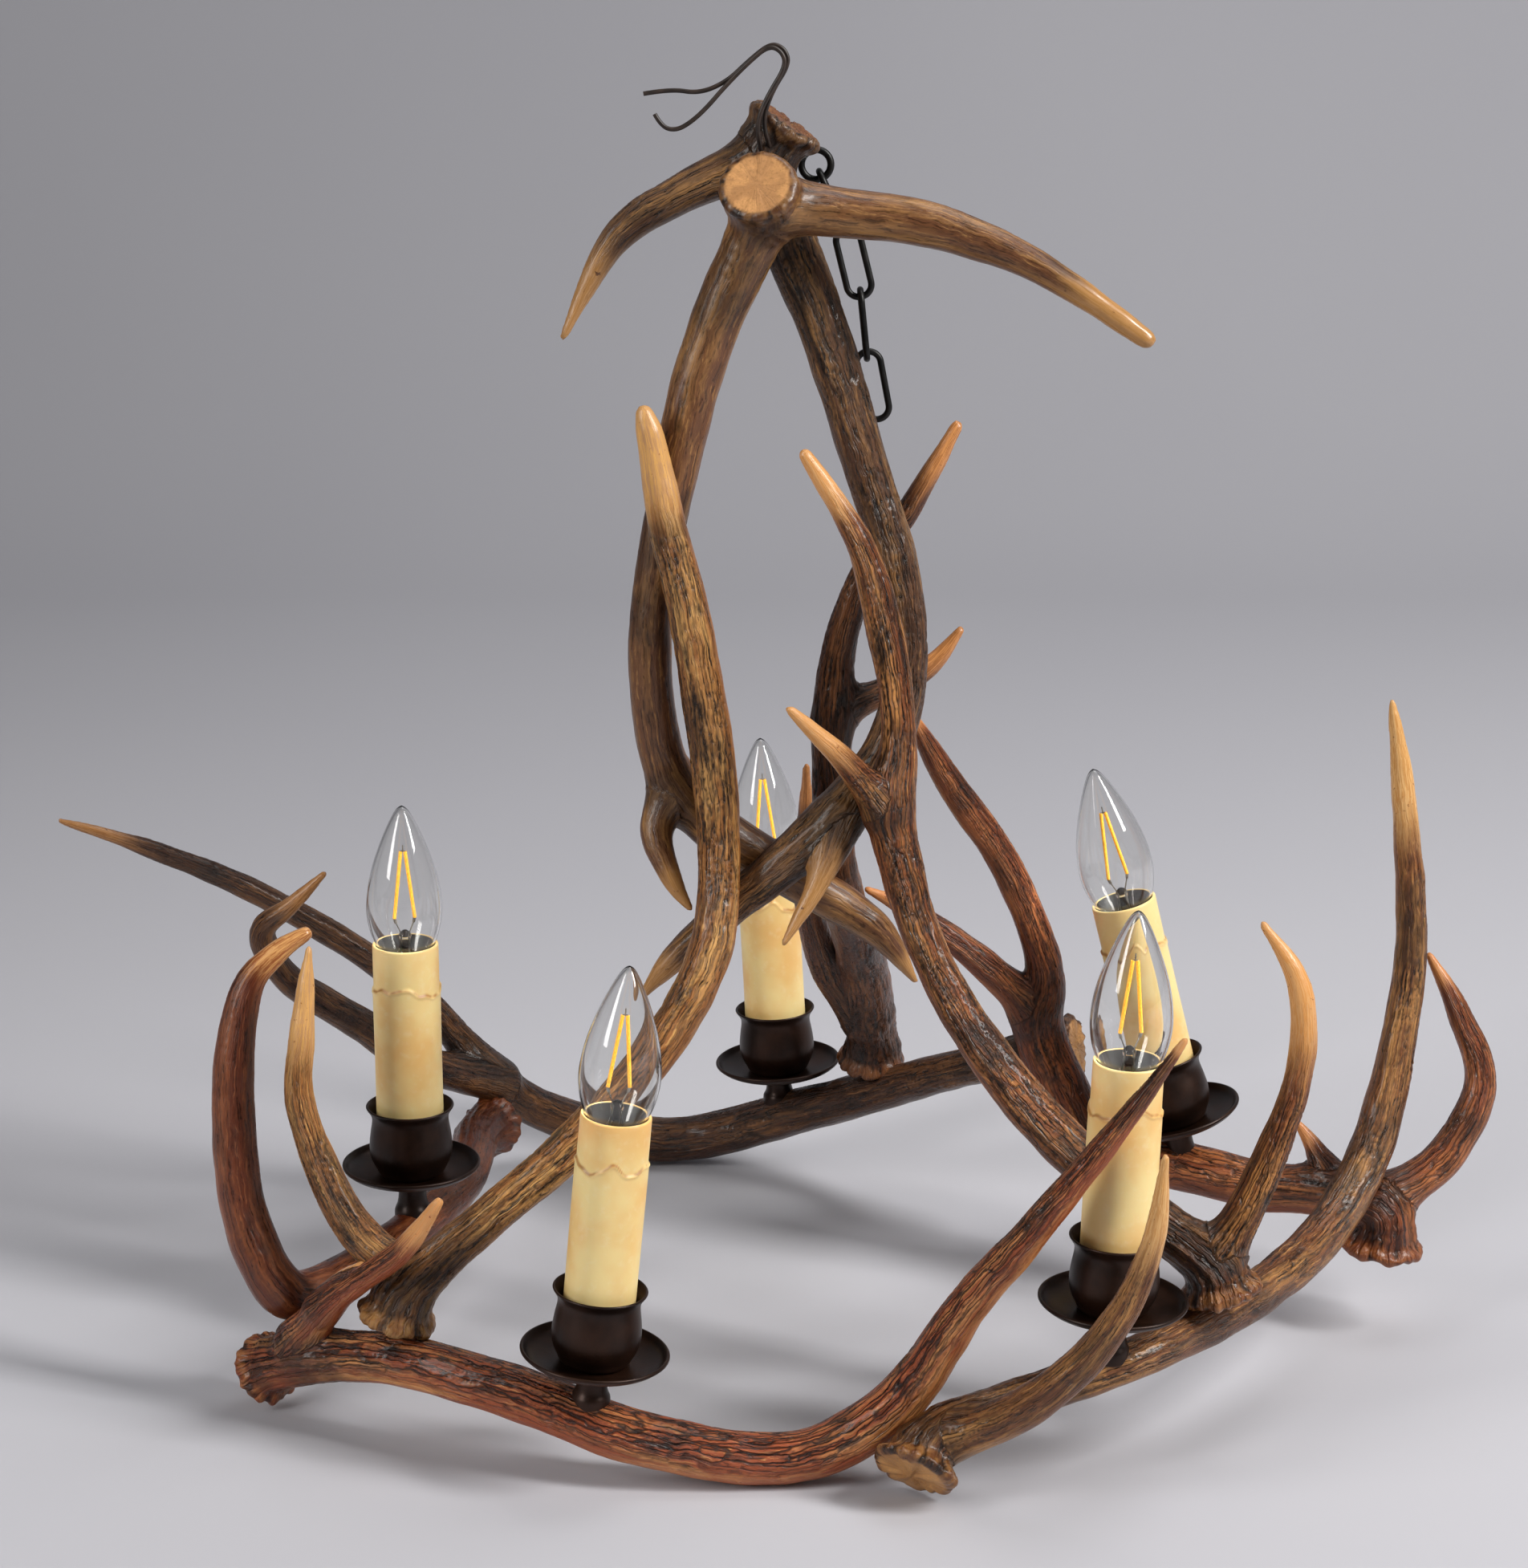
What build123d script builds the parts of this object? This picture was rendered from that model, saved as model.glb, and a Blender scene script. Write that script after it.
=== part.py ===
from build123d import *

import math
import os

# Antler chandelier: five ring antlers joined end to end carry one candle lamp each, three upright
# antlers stand on the ring, and two crown antlers crossed in an A-frame carry the hanging eye.
# Stations are written with the floor at z = 0 and the ring's middle at x = y = 0, X to the right,
# Y away from the front. The finished pieces are shifted so that the origin is the hanging eye.

# ---------------------------------------------------------------- driving dimensions, mm
EYE_CENTRE = (-1, 40, 547)      # middle of the hanging eye above the floor
EYE_RADIUS = 6.5                # to the middle of the wire
EYE_WIRE = 1.6                  # wire radius
EYE_SHANK = 20                  # from the eye's wire into the antler

BEAM_PITCH = 20                 # distance between the sections of a main beam
TINE_PITCH = 17                 # distance between the sections of a tine
SEAT_PITCH = 3                  # step along a centre line when a seat is looked for
SEAT_GAP = 0.25                 # left between an antler and the one coped over it

BURR_RIM = 5.0                  # width of the coronet's rim along the beam
BURR_LIP = 1.2                  # how far the rim rounds over
BURR_NECK = 3.5                 # from the rim to the beam's own thickness
BURR_PEARLS = 13                # knobs round the coronet
BURR_DENT = 1.3                 # depth of the dents between them

SCREW_SHANK = 2.0               # radius
SCREW_HEAD = 3.8
SCREW_BITE = 0.6                # share of the far antler's radius that the point goes past its middle
SCREW_CLEARANCE = 0.1

STEM_FOOT = 8.5                 # lamp stem: radius on the antler
STEM_WAIST = 6.5
STEM_TOP = 9.0
STEM_SINK = 5.0                 # how far the saddle-cut foot reaches down the antler's sides

DISH_RADIUS = 32.5
DISH_FLAT = 16.5                # radius of its level middle
DISH_DEPTH = 7.0
DISH_WALL = 1.2
DISH_RIM = 1.0                  # radius of the rolled rim

CUP_FOOT = 13.2                 # candle cup: radii from the foot to the flared lip
CUP_BULGE = 19.4
CUP_NECK = 17.9
CUP_LIP = 20.3
CUP_HEIGHT = 34.0
CUP_WALL = 1.0

SLEEVE_RADIUS = 15.2
SLEEVE_WALL = 1.4
SLEEVE_LENGTH = 107.5
SLEEVE_SEAT = 4.5               # its lower edge above the cup's floor, where the cup grips it
SLEEVE_DRIP = 0.5               # the wax-look band stands out this much
SLEEVE_BAND = 20.0              # from the top edge down to the drip line

HOLDER_RADIUS = 12.5
HOLDER_BELOW = 12.0             # its mouth below the sleeve's top edge
HOLDER_BORE = 7.4
HOLDER_BORE_DEPTH = 27.0

CAP_RADIUS = 6.9                # screw cap of the bulb
CAP_LENGTH = 17.0
CONTACT_RADIUS = 2.6
CONTACT_LENGTH = 3.5
GLASS_WALL = 0.8
GLASS_LENGTH = 78.0
GLASS_RADIUS = 17.5
GLASS_NECK = 9.4
FIT_GAP = 0.3                   # clearance between pieces that stand in or on each other

FILAMENT_THICK = 1.4
FILAMENT_LOW = 24.0             # heights in the glass
FILAMENT_HIGH = 56.0
FILAMENT_SPREAD = 6.0           # half the distance between the two lower ends
FILAMENT_STEM = 3.2             # radius of the glass stem that carries them
FILAMENT_FLARE = 3.0            # the stem's foot is this much wider
FILAMENT_FOOT = 8.0             # and this high
FILAMENT_LEGS = 6.0             # height of the bare wires between the stem and the strips
FILAMENT_LEAD = 0.6             # thickness of the bare wires

LINK_WIRE = 1.5
LINK_LENGTH = 31.0              # centre line, end to end
LINK_WIDTH = 11.0               # centre line, side to side
LINK_PLAY = 0.15
CHAIN_LEANS = [25, 14, 6, 11]  # each link's lean to the right of plumb, degrees

FLEX_RADIUS = 1.0
FLEX_HOLE = 1.15               # radius of the two holes it comes out of

# ---------------------------------------------------------------- antlers
# Each antler has its burr's radius, its main beam from the burr to the tip, and its tines from the
# beam outwards. A station is (x, y, z, radius).
ANTLERS = {
    "ring_antler_front": {
        "burr": 17.0,
        "beam": [(-251, -62, 16, 13), (-236, -75, 26, 12), (-191, -100, 39, 11.5), (-133, -128, 36, 12),
                 (-77, -143, 21, 12), (-14, -143, 12, 11.5), (31, -142, 35, 11.5), (63, -148, 86, 9),
                 (85, -153, 116, 8), (125, -161, 173, 5), (149, -166, 211, 1.2)],
        "tines": [
            [(-235, -77, 36, 10), (-210, -102, 70, 6.5), (-181, -120, 98, 5.5), (-163, -130, 125, 1)],
            [(-222, -92, 58, 4.5), (-210, -95, 73, 3.5), (-200, -99, 83, 1)],
        ],
    },
    "ring_antler_right_front": {
        "burr": 20.0,
        "beam": [(39, -166, 15.5, 13.5), (50, -154, 28, 11.5), (89, -142, 40, 9.5), (139, -126, 52, 9.5),
                 (190, -76, 55, 10.5), (233, -20, 63, 10.5), (262, 18, 94, 10.5), (276, 35, 150, 8.5),
                 (279, 40, 196, 7.5), (272, 45, 265, 5.5), (266, 46, 301, 1.2)],
        "tines": [
            [(54, -156, 27, 10), (87, -172, 50, 9), (117, -181, 84, 7.5), (135, -186, 126, 5.5),
             (140, -187, 168, 1)],
        ],
    },
    "ring_antler_right_back": {
        "burr": 21.0,
        "beam": [(268, 20, 40, 15), (267, 20, 61, 13.5), (238, 32, 65, 12), (184, 52, 60, 12),
                 (142, 67, 68, 12.5), (116, 79, 110, 13), (109, 83, 133, 12), (112, 84, 159, 9),
                 (92, 78, 211, 8), (62, 66, 259, 7), (42, 58, 296, 1.2)],
        "tines": [
            [(109, 83, 134, 10), (80, 80, 164, 7.5), (48, 76, 189, 5.5), (25, 73, 202, 1)],
            [(268, 22, 64, 10), (297, 30, 81, 9.5), (316, 42, 115, 8), (306, 49, 147, 6), (291, 54, 175, 1)],
            [(249, 28, 68, 7.5), (235, 37, 89, 4), (228, 39, 98, 1)],
        ],
    },
    "ring_antler_back": {
        "burr": 18.0,
        "beam": [(130, 100, 112, 14), (108, 109, 106, 11.5), (76, 141, 87, 10), (37, 177, 62, 11),
                 (-10, 208, 37, 12), (-56, 229, 16.2, 12), (-95, 227, 16.6, 11.8), (-146, 188, 50, 10.5),
                 (-173, 172, 84, 8.5), (-211, 159, 130, 7.5), (-268, 143, 174, 6.5), (-321, 131, 203, 5),
                 (-368, 122, 222, 1.2)],
        "tines": [
            [(-158, 178, 64, 9.5), (-195, 144, 88, 9.5), (-225, 116, 120, 8.5), (-255, 92, 151, 7.5),
             (-265, 80, 178, 6.5), (-250, 76, 193, 4.5), (-233, 73, 210, 1)],
        ],
    },
    "ring_antler_left": {
        "burr": 16.0,
        "beam": [(-162, 165, 47, 12.5), (-169, 140, 50, 11.5), (-172, 80, 50, 10.5), (-190, 20, 50, 10.5),
                 (-222, -45, 50, 11), (-241, -68, 58, 11.5), (-257, -63, 95, 10.5), (-261, -52, 150, 9.5),
                 (-255, -44, 190, 7.5), (-242, -38, 206, 5.5), (-229, -34, 214, 1.2)],
        "tines": [],
    },
    "upright_antler_left": {
        "burr": 18.5,
        "beam": [(-188, -99, 59, 14), (-176, -97, 76, 11.5), (-144, -92, 103, 9.5), (-102, -80, 138, 10),
                 (-67, -60, 175, 10), (-48, -40, 209, 10), (-44, -24, 244, 9.5), (-47, -17, 290, 10.5),
                 (-56, -16, 351, 9.5), (-67, -13, 399, 8.5), (-74, -12, 438, 5), (-76, -12, 447, 2)],
        "tines": [
            [(-182, -96, 78, 10), (-207, -82, 96, 9), (-228, -71, 144, 7), (-227, -65, 183, 5.5),
             (-224, -59, 216, 1)],
        ],
    },
    "upright_antler_right": {
        "burr": 19.0,
        "beam": [(177, -100, 68, 14), (170, -98, 84, 12), (141, -88, 105, 11), (103, -71, 135, 11),
                 (70, -53, 173, 10), (48, -38, 211, 9), (35, -26, 253, 10.5), (33, -22, 272, 11),
                 (36, -16, 307, 8), (29, -10, 350, 8.5), (18, -8, 387, 6.5), (-6, -8, 427, 1.2)],
        "tines": [
            [(30, -24, 268, 8), (11, -35, 295, 6), (-13, -47, 322, 1)],
            [(173, -99, 86, 10), (190, -92, 112, 8.5), (210, -78, 162, 6.5), (210, -71, 202, 5.5),
             (194, -66, 230, 1)],
        ],
    },
    "upright_antler_back": {
        "burr": 18.0,
        "beam": [(31, 183, 73, 15), (31, 176, 92, 13), (27, 138, 137, 12), (20, 95, 171, 11),
                 (10, 32, 223, 10), (8, 25, 250, 9.5), (7, 29, 294, 9.5), (11, 34, 332, 8),
                 (23, 36, 367, 6.5), (41, 38, 392, 6), (63, 47, 430, 1.2)],
        "tines": [
            [(8, 31, 300, 8), (32, 37, 309, 6.5), (52, 41, 319, 5), (66, 45, 336, 1)],
            [(27, 168, 104, 10), (7, 136, 142, 8.5), (-4, 100, 195, 6.5), (-4, 82, 235, 4.5),
             (-4, 72, 264, 1)],
        ],
    },
    "crown_antler_left": {
        "burr": 18.0,
        "beam": [(-27, -12, 545, 14), (-31, 1, 521, 13), (-45, 7, 482, 11.5), (-57, 6, 444, 11),
                 (-71, 3, 376, 9.5), (-75, 2, 330, 10), (-68, 3, 282, 10.5), (-43, 5, 250, 11.5),
                 (-6, 9, 225, 10.5), (27, 14, 202, 8), (46, 20, 173, 1.2)],
        "tines": [
            [(-64, 3, 273, 9), (-73, -6, 255, 7.5), (-65, -18, 234, 5), (-57, -24, 223, 1)],
            [(-28, -2, 535, 13), (10, 3, 530, 11), (52, 0, 524, 10), (96, -8, 507, 7), (142, -17, 477, 1)],
        ],
    },
    "crown_antler_right": {
        "burr": 18.5,
        "beam": [(-13, 30, 567, 14), (-22, 30, 552, 13), (-22, 30, 536, 12.5), (-14, 30, 516, 12.5),
                 (2, 28, 477, 11.5), (22, 24, 414, 10.5), (35, 19, 371, 10.5), (40, 12, 326, 10),
                 (29, -1, 287, 10.5), (-3, -12, 252, 11), (-37, -13, 222, 9), (-66, -15, 195, 6),
                 (-79, -16, 178, 1.2)],
        "tines": [
            [(13, -10, 264, 9), (0, -28, 236, 5.5), (-15, -40, 211, 1)],
            [(-22, 30, 552, 12), (-60, 25, 536, 9), (-90, 18, 516, 7), (-113, 10, 474, 1)],
        ],
    },
}

# The first antler of each pair is coped over the second, and a screw holds them together. Its head
# lies in the first one where the two pass each other, and in the second one, on the side away from
# the first, where the first one's sawn foot stands on it.
JOINTS = [
    ("ring_antler_right_front", "ring_antler_front", "passes"),
    ("ring_antler_right_back", "ring_antler_right_front", "passes"),
    ("ring_antler_back", "ring_antler_right_back", "stands"),
    ("ring_antler_left", "ring_antler_back", "stands"),
    ("ring_antler_left", "ring_antler_front", "passes"),
    ("upright_antler_left", "ring_antler_front", "stands"),
    ("upright_antler_right", "ring_antler_right_front", "stands"),
    ("upright_antler_back", "ring_antler_back", "stands"),
    ("crown_antler_right", "crown_antler_left", "passes"),
    ("upright_antler_left", "crown_antler_left", "passes"),
    ("upright_antler_left", "crown_antler_right", "passes"),
    ("upright_antler_right", "crown_antler_right", "passes"),
    ("upright_antler_back", "crown_antler_right", "passes"),
    ("upright_antler_back", "crown_antler_left", "passes"),
]

# Lamps: name, the antler that carries it, where along X and Y its stem stands, its lean to the right
# in degrees, and the stem's height.
LAMPS = [
    ("left", "ring_antler_left", (-189, 20), 0.0, 17.0),
    ("front", "ring_antler_front", (-100, -140), 5.5, 15.0),
    ("right_front", "ring_antler_right_front", (124, -131), 2.0, 17.0),
    ("right_back", "ring_antler_right_back", (181, 53), -14.0, 20.0),
    ("back", "ring_antler_back", (-14, 210), -3.0, 13.0),
]


# ---------------------------------------------------------------- station helpers
def smooth(stations, pitch):
    """Stations about one pitch apart on a Catmull-Rom curve through the given ones."""
    padded = [stations[0], *stations, stations[-1]]
    rows = []
    for a, b, c, d in zip(padded, padded[1:], padded[2:], padded[3:]):
        steps = max(1, round(math.dist(b[:3], c[:3]) / pitch))
        for step in range(steps):
            t = step / steps
            rows.append(tuple(
                q + 0.5 * t * (r - p + t * (2 * p - 5 * q + 4 * r - s + t * (3 * q - p - 3 * r + s)))
                for p, q, r, s in zip(a, b, c, d)
            ))
    return rows + [stations[-1]]


def directions(rows):
    """Unit direction of the centre line at each station."""
    result = []
    for before, after in zip([rows[0], *rows[:-1]], [*rows[1:], rows[-1]]):
        result.append((Vector(*after[:3]) - Vector(*before[:3])).normalized())
    return result


def with_burr(rows, burr):
    """Adds the flared coronet and the sawn face at the foot of a beam."""
    axis = directions(rows)[0]
    foot = Vector(*rows[0][:3])
    neck = rows[0][3]
    rings = [
        (0, 0.86 * burr, 0),
        (BURR_LIP, 0.96 * burr, BURR_DENT),
        (BURR_RIM / 2, burr, BURR_DENT),
        (BURR_RIM, 0.93 * burr, BURR_DENT),
        (BURR_RIM + BURR_NECK / 2, (burr + 2 * neck) / 3, 0),
        (BURR_RIM + BURR_NECK, neck, 0),
    ]
    start = [(*(foot + axis * along), radius, dent) for along, radius, dent in rings]
    keep = [row for row in rows if (Vector(*row[:3]) - foot).dot(axis) > BURR_RIM + 2 * BURR_NECK]
    return start + keep


def section(row, side, along, grow):
    """The outline square to the centre line: round, or wavy where the row gives a depth of dents."""
    plane = Plane(origin=row[:3], x_dir=side, z_dir=along)
    radius = row[3] + grow
    dent = row[4] if len(row) > 4 else 0
    if not dent:
        return Wire.make_circle(radius, plane)
    spots = []
    for half in range(2 * BURR_PEARLS):
        angle = math.pi * half / BURR_PEARLS
        reach = radius - dent * (half % 2)
        spots.append(plane.from_local_coords(Vector(reach * math.cos(angle), reach * math.sin(angle))))
    return Wire([Edge.make_spline(spots, periodic=True)])


def horn(rows, grow=0.0):
    """A ruled loft through the sections of a beam or a tine."""
    sections = []
    side = None
    for row, along in zip(rows, directions(rows)):
        side = side or along.cross(Vector(0.3, 1, 0.2))
        side = side - along * side.dot(along)
        sections.append(section(row, side, along, grow))
    return Solid.make_loft(sections, ruled=True)


def antler(spec, grow=0.0):
    beam = with_burr(smooth(spec["beam"], BEAM_PITCH), spec["burr"])
    solid = horn(beam, grow)
    for tine in spec["tines"]:
        solid = solid.fuse(horn(smooth(tine, TINE_PITCH), grow))
    return solid


def largest(shape):
    return max(shape.solids(), key=lambda solid: solid.volume)


def nearest_pair(first, second):
    """The two stations, one on each centre line, where the surfaces come closest."""
    lines = []
    for spec in (first, second):
        rows = smooth(spec["beam"], SEAT_PITCH)
        for tine in spec["tines"]:
            rows = rows + smooth(tine, SEAT_PITCH)
        lines.append(rows)
    return min(
        ((a, b) for a in lines[0] for b in lines[1]),
        key=lambda pair: math.dist(pair[0][:3], pair[1][:3]) - pair[0][3] - pair[1][3],
    )


# ---------------------------------------------------------------- fasteners
def screw_solid(near, far, grow=0.0):
    """Countersunk screw from the outside of the near antler past the middle of the far one."""
    start, end = Vector(*near[:3]), Vector(*far[:3])
    axis = (end - start).normalized()
    head = start - axis * (near[3] - SCREW_HEAD / 2)
    length = (end - head).length + SCREW_BITE * far[3]
    profile = Polyline(
        (0, 0),
        (SCREW_HEAD + grow, 0),
        (SCREW_HEAD + grow, 0.8),
        (SCREW_SHANK + grow, 0.8 + SCREW_HEAD - SCREW_SHANK),
        (SCREW_SHANK + grow, length - SCREW_SHANK + grow),
        (0, length + grow),
        close=True,
    )
    turned = revolve(Plane.XZ * make_face(profile), Axis.Z)
    return Plane(origin=head, z_dir=axis) * turned.solid()


# ---------------------------------------------------------------- lamp pieces, upright on the origin
def turned(points):
    """A solid of revolution about Z from (radius, height) points."""
    return revolve(Plane.XZ * make_face(Polyline(*points, close=True)), Axis.Z).solid()


def outline(*runs):
    """Closed face from runs of (radius, height) points, a line through two points, a curve through more."""
    edges = []
    for run in runs:
        edges.append(Line(*run) if len(run) == 2 else Spline(*run))
    for before, after in zip(runs, [*runs[1:], runs[0]]):
        if math.dist(before[-1], after[0]) > 0.001:
            edges.append(Line(before[-1], after[0]))
    return make_face(edges)


def spun(*runs):
    """A solid of revolution about Z inside a closed outline of curved runs."""
    return revolve(Plane.XZ * outline(*runs), Axis.Z).solid()


def further_in(points, wall):
    """A curve one wall inside another, measured square to its run."""
    result = []
    for before, spot, after in zip([points[0], *points[:-1]], points, [*points[1:], points[-1]]):
        run = Vector(after[0] - before[0], after[1] - before[1]).normalized()
        result.append((spot[0] - wall * run.Y, spot[1] + wall * run.X))
    return result


def stem(height):
    waist = [(STEM_FOOT, 0), (STEM_WAIST, height / 2), (STEM_TOP, height)]
    return spun([(0, -STEM_SINK), (STEM_FOOT, -STEM_SINK)], waist, [(0, height), (0, -STEM_SINK)])


def dish(base):
    rim = DISH_RADIUS - DISH_RIM
    flat = (DISH_FLAT, base)
    rise = [flat, (0.74 * rim, base + 0.12 * DISH_DEPTH), (0.92 * rim, base + 0.45 * DISH_DEPTH),
            (rim, base + DISH_DEPTH - DISH_RIM)]
    inner = further_in(rise, DISH_WALL)
    inner[0] = (DISH_FLAT, base + DISH_WALL)
    plate = spun([(0, base), flat], rise, inner[::-1], [(0, base + DISH_WALL), (0, base)])
    roll = Pos(0, 0, base + DISH_DEPTH - DISH_RIM) * Torus(rim, DISH_RIM)
    return largest(plate.fuse(roll.solid()))


def cup(base):
    shape = [(CUP_FOOT, 0), (0.87 * CUP_BULGE, 0.13), (0.98 * CUP_BULGE, 0.28), (CUP_BULGE, 0.43),
             (0.97 * CUP_BULGE, 0.60), (CUP_NECK, 0.78), (CUP_NECK + 0.2 * (CUP_LIP - CUP_NECK), 0.88),
             (CUP_LIP, 1)]
    rise = [(radius, base + share * CUP_HEIGHT) for radius, share in shape]
    inner = further_in(rise, CUP_WALL)
    inner[0] = (inner[0][0], base + CUP_WALL)
    return spun([(0, base), rise[0]], rise, inner[::-1], [(0, base + CUP_WALL), (0, base)])


def sleeve(base):
    top = base + SLEEVE_LENGTH
    band = top - SLEEVE_BAND
    bore = SLEEVE_RADIUS - SLEEVE_WALL
    return turned([
        (bore, base), (SLEEVE_RADIUS + SLEEVE_DRIP, base), (SLEEVE_RADIUS + SLEEVE_DRIP, band),
        (SLEEVE_RADIUS, band + 2), (SLEEVE_RADIUS, top), (bore, top),
    ])


def lampholder(base, top):
    well = top - HOLDER_BORE_DEPTH
    return turned([
        (0, base), (HOLDER_RADIUS, base), (HOLDER_RADIUS, top), (HOLDER_BORE, top), (HOLDER_BORE, well),
        (0, well),
    ])


def glass_outline(wall):
    """(radius, height) points of the candle-shaped glass, its wall thinner by the given amount."""
    shape = [(GLASS_NECK, 0), (0.60 * GLASS_RADIUS, 0.07), (0.84 * GLASS_RADIUS, 0.19), (GLASS_RADIUS, 0.37),
             (0.93 * GLASS_RADIUS, 0.53), (0.67 * GLASS_RADIUS, 0.73), (0.32 * GLASS_RADIUS, 0.91)]
    rise = GLASS_LENGTH - 2 * wall
    return [(radius - wall, wall + share * rise) for radius, share in shape] + [(0, wall + rise)]


def glass(base):
    walls = []
    for wall in (0, GLASS_WALL):
        rise = glass_outline(wall)
        walls.append(spun([(0, wall), rise[0]], rise, [rise[-1], (0, wall)]))
    return Pos(0, 0, base) * largest(walls[0].cut(walls[1]))


def cap(base):
    low = base - CAP_LENGTH
    return turned([
        (0, low - CONTACT_LENGTH), (CONTACT_RADIUS, low - CONTACT_LENGTH), (CAP_RADIUS, low),
        (CAP_RADIUS, base), (0, base),
    ])


def filament(base):
    foot = base + GLASS_WALL
    head = FILAMENT_LOW - FILAMENT_LEGS + 2 * FILAMENT_LEAD
    carrier = Pos(0, 0, foot) * turned([
        (0, 0), (FILAMENT_STEM + FILAMENT_FLARE, 0), (FILAMENT_STEM, FILAMENT_FOOT),
        (2 * FILAMENT_LEAD, head), (0, head),
    ])
    low, high = base + FILAMENT_LOW, base + FILAMENT_HIGH
    for hand in (-1, 1):
        spread = Vector(hand * FILAMENT_SPREAD, 0, low)
        peak = Vector(hand * FILAMENT_THICK, 0, high)
        crotch = Vector(0, 0, low - FILAMENT_LEGS)
        for start, end, thick in ((crotch, spread, FILAMENT_LEAD), (spread, peak, FILAMENT_THICK)):
            run = end - start
            bar = Box(thick, thick, run.length + thick / 2, align=(Align.CENTER, Align.CENTER, Align.MIN))
            carrier = carrier.fuse(Plane(origin=start, z_dir=run.normalized()) * bar.solid())
    bridge = Pos(0, 0, high) * Box(3 * FILAMENT_THICK, FILAMENT_THICK, FILAMENT_THICK)
    return largest(carrier.fuse(bridge.solid()))


def lamp_frame(spec, place, lean):
    """The plane on top of the antler where a lamp stands, its Z along the candle."""
    rows = smooth(spec["beam"], SEAT_PITCH)
    row = min(rows, key=lambda r: math.dist(r[:2], place))
    up = Vector(math.sin(math.radians(lean)), 0, math.cos(math.radians(lean)))
    top = Vector(*row[:3]) + up * row[3]
    return Plane(origin=top, x_dir=Vector(up.Z, 0, -up.X), z_dir=up)


# ---------------------------------------------------------------- hanging gear
def link_shape():
    """Oval link about the origin, its long way along Z and its flat way along X."""
    half, bend = (LINK_LENGTH - LINK_WIDTH) / 2, LINK_WIDTH / 2
    path = Wire([
        Edge.make_line((bend, 0, -half), (bend, 0, half)),
        Edge.make_three_point_arc((bend, 0, half), (0, 0, half + bend), (-bend, 0, half)),
        Edge.make_line((-bend, 0, half), (-bend, 0, -half)),
        Edge.make_three_point_arc((-bend, 0, -half), (0, 0, -half - bend), (bend, 0, -half)),
    ])
    section = Plane(origin=(bend, 0, -half), z_dir=(0, 0, 1)) * Circle(LINK_WIRE)
    return sweep(section, path=path).solid()


def chain_planes():
    """Middle and direction of each link, hanging from the eye."""
    reach = 2 * LINK_WIRE + LINK_PLAY
    joint = Vector(*EYE_CENTRE)
    down = Vector(math.sin(math.radians(CHAIN_LEANS[0])), 0, -math.cos(math.radians(CHAIN_LEANS[0])))
    joint = joint + down * (EYE_RADIUS - EYE_WIRE - LINK_WIRE - LINK_PLAY)
    planes = []
    for number, lean in enumerate(CHAIN_LEANS):
        angle = math.radians(lean)
        down = Vector(math.sin(angle), 0, -math.cos(angle))
        face = Vector(0, 1, 0) if number % 2 == 0 else Vector(math.cos(angle), 0, math.sin(angle))
        planes.append(Plane(origin=joint + down * (LINK_LENGTH / 2), x_dir=face, z_dir=-down))
        joint = joint + down * (LINK_LENGTH - reach)
    return planes


def hanging_eye(antler_spec):
    """Ring with a straight shank that screws into the neck of the crown antler."""
    ring = Pos(*EYE_CENTRE) * (Rot(90, 0, 0) * Torus(EYE_RADIUS, EYE_WIRE)).solid()
    return ring.fuse(eye_shank(antler_spec, EYE_WIRE))


def eye_shank(antler_spec, radius):
    centre = Vector(*EYE_CENTRE)
    rows = smooth(antler_spec["beam"], SEAT_PITCH)
    neck = Vector(*min(rows, key=lambda r: math.dist(r[:3], EYE_CENTRE))[:3])
    axis = (neck - centre).normalized()
    plane = Plane(origin=centre + axis * EYE_RADIUS, z_dir=axis)
    return plane * Solid.make_cylinder(radius, EYE_SHANK)


# The two single-core wires come out of the neck of the crown antler, stand up in a loop and part.
FLEX_ROUTES = {
    "flex_core_left": [
        (-23, 28, 545), (-26, 12, 557), (-27, 10, 569), (-22, 10, 580), (-14.5, 10, 592), (-16.3, 10, 598),
        (-22, 10, 600.5), (-31, 10, 593), (-41, 9.5, 583), (-49, 7, 574), (-56, 5, 568), (-62, 4, 565),
        (-68, 4, 566.5), (-71, 4, 572),
    ],
    "flex_core_right": [
        (-18.5, 28, 546), (-22, 13, 558), (-24.5, 12.5, 569), (-20.5, 12.5, 581), (-13, 12.5, 592.5),
        (-15, 12.5, 599), (-21, 12.5, 601.5), (-30.5, 12.5, 594), (-40, 12.5, 585), (-52, 12, 580),
        (-64, 12, 582), (-76, 11, 580),
    ],
}


def flex_hole(points):
    start, end = Vector(*points[0]), Vector(*points[1])
    return Plane(origin=start, z_dir=end - start) * Solid.make_cylinder(FLEX_HOLE, (end - start).length)


def flex_tube(points):
    """Round wire along straight runs joined by arcs as large as the runs allow."""
    spots = [Vector(*point) for point in points]
    radii = []
    for a, b, c in zip(spots, spots[1:], spots[2:]):
        turn = math.radians((b - a).get_angle(c - b))
        shorter = min((b - a).length, (c - b).length)
        radii.append(0.45 * shorter / math.tan(turn / 2))
    path = FilletPolyline(*spots, radius=radii)
    section = Plane(origin=spots[0], z_dir=spots[1] - spots[0]) * Circle(FLEX_RADIUS)
    tube = sweep(section, path=path).solid()
    expected = math.pi * FLEX_RADIUS**2 * path.length
    print("flex radii", [round(radius, 1) for radius in radii], "length", round(path.length, 1))
    print("flex volume over section times length", round(tube.volume / expected, 4))
    return tube


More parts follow.
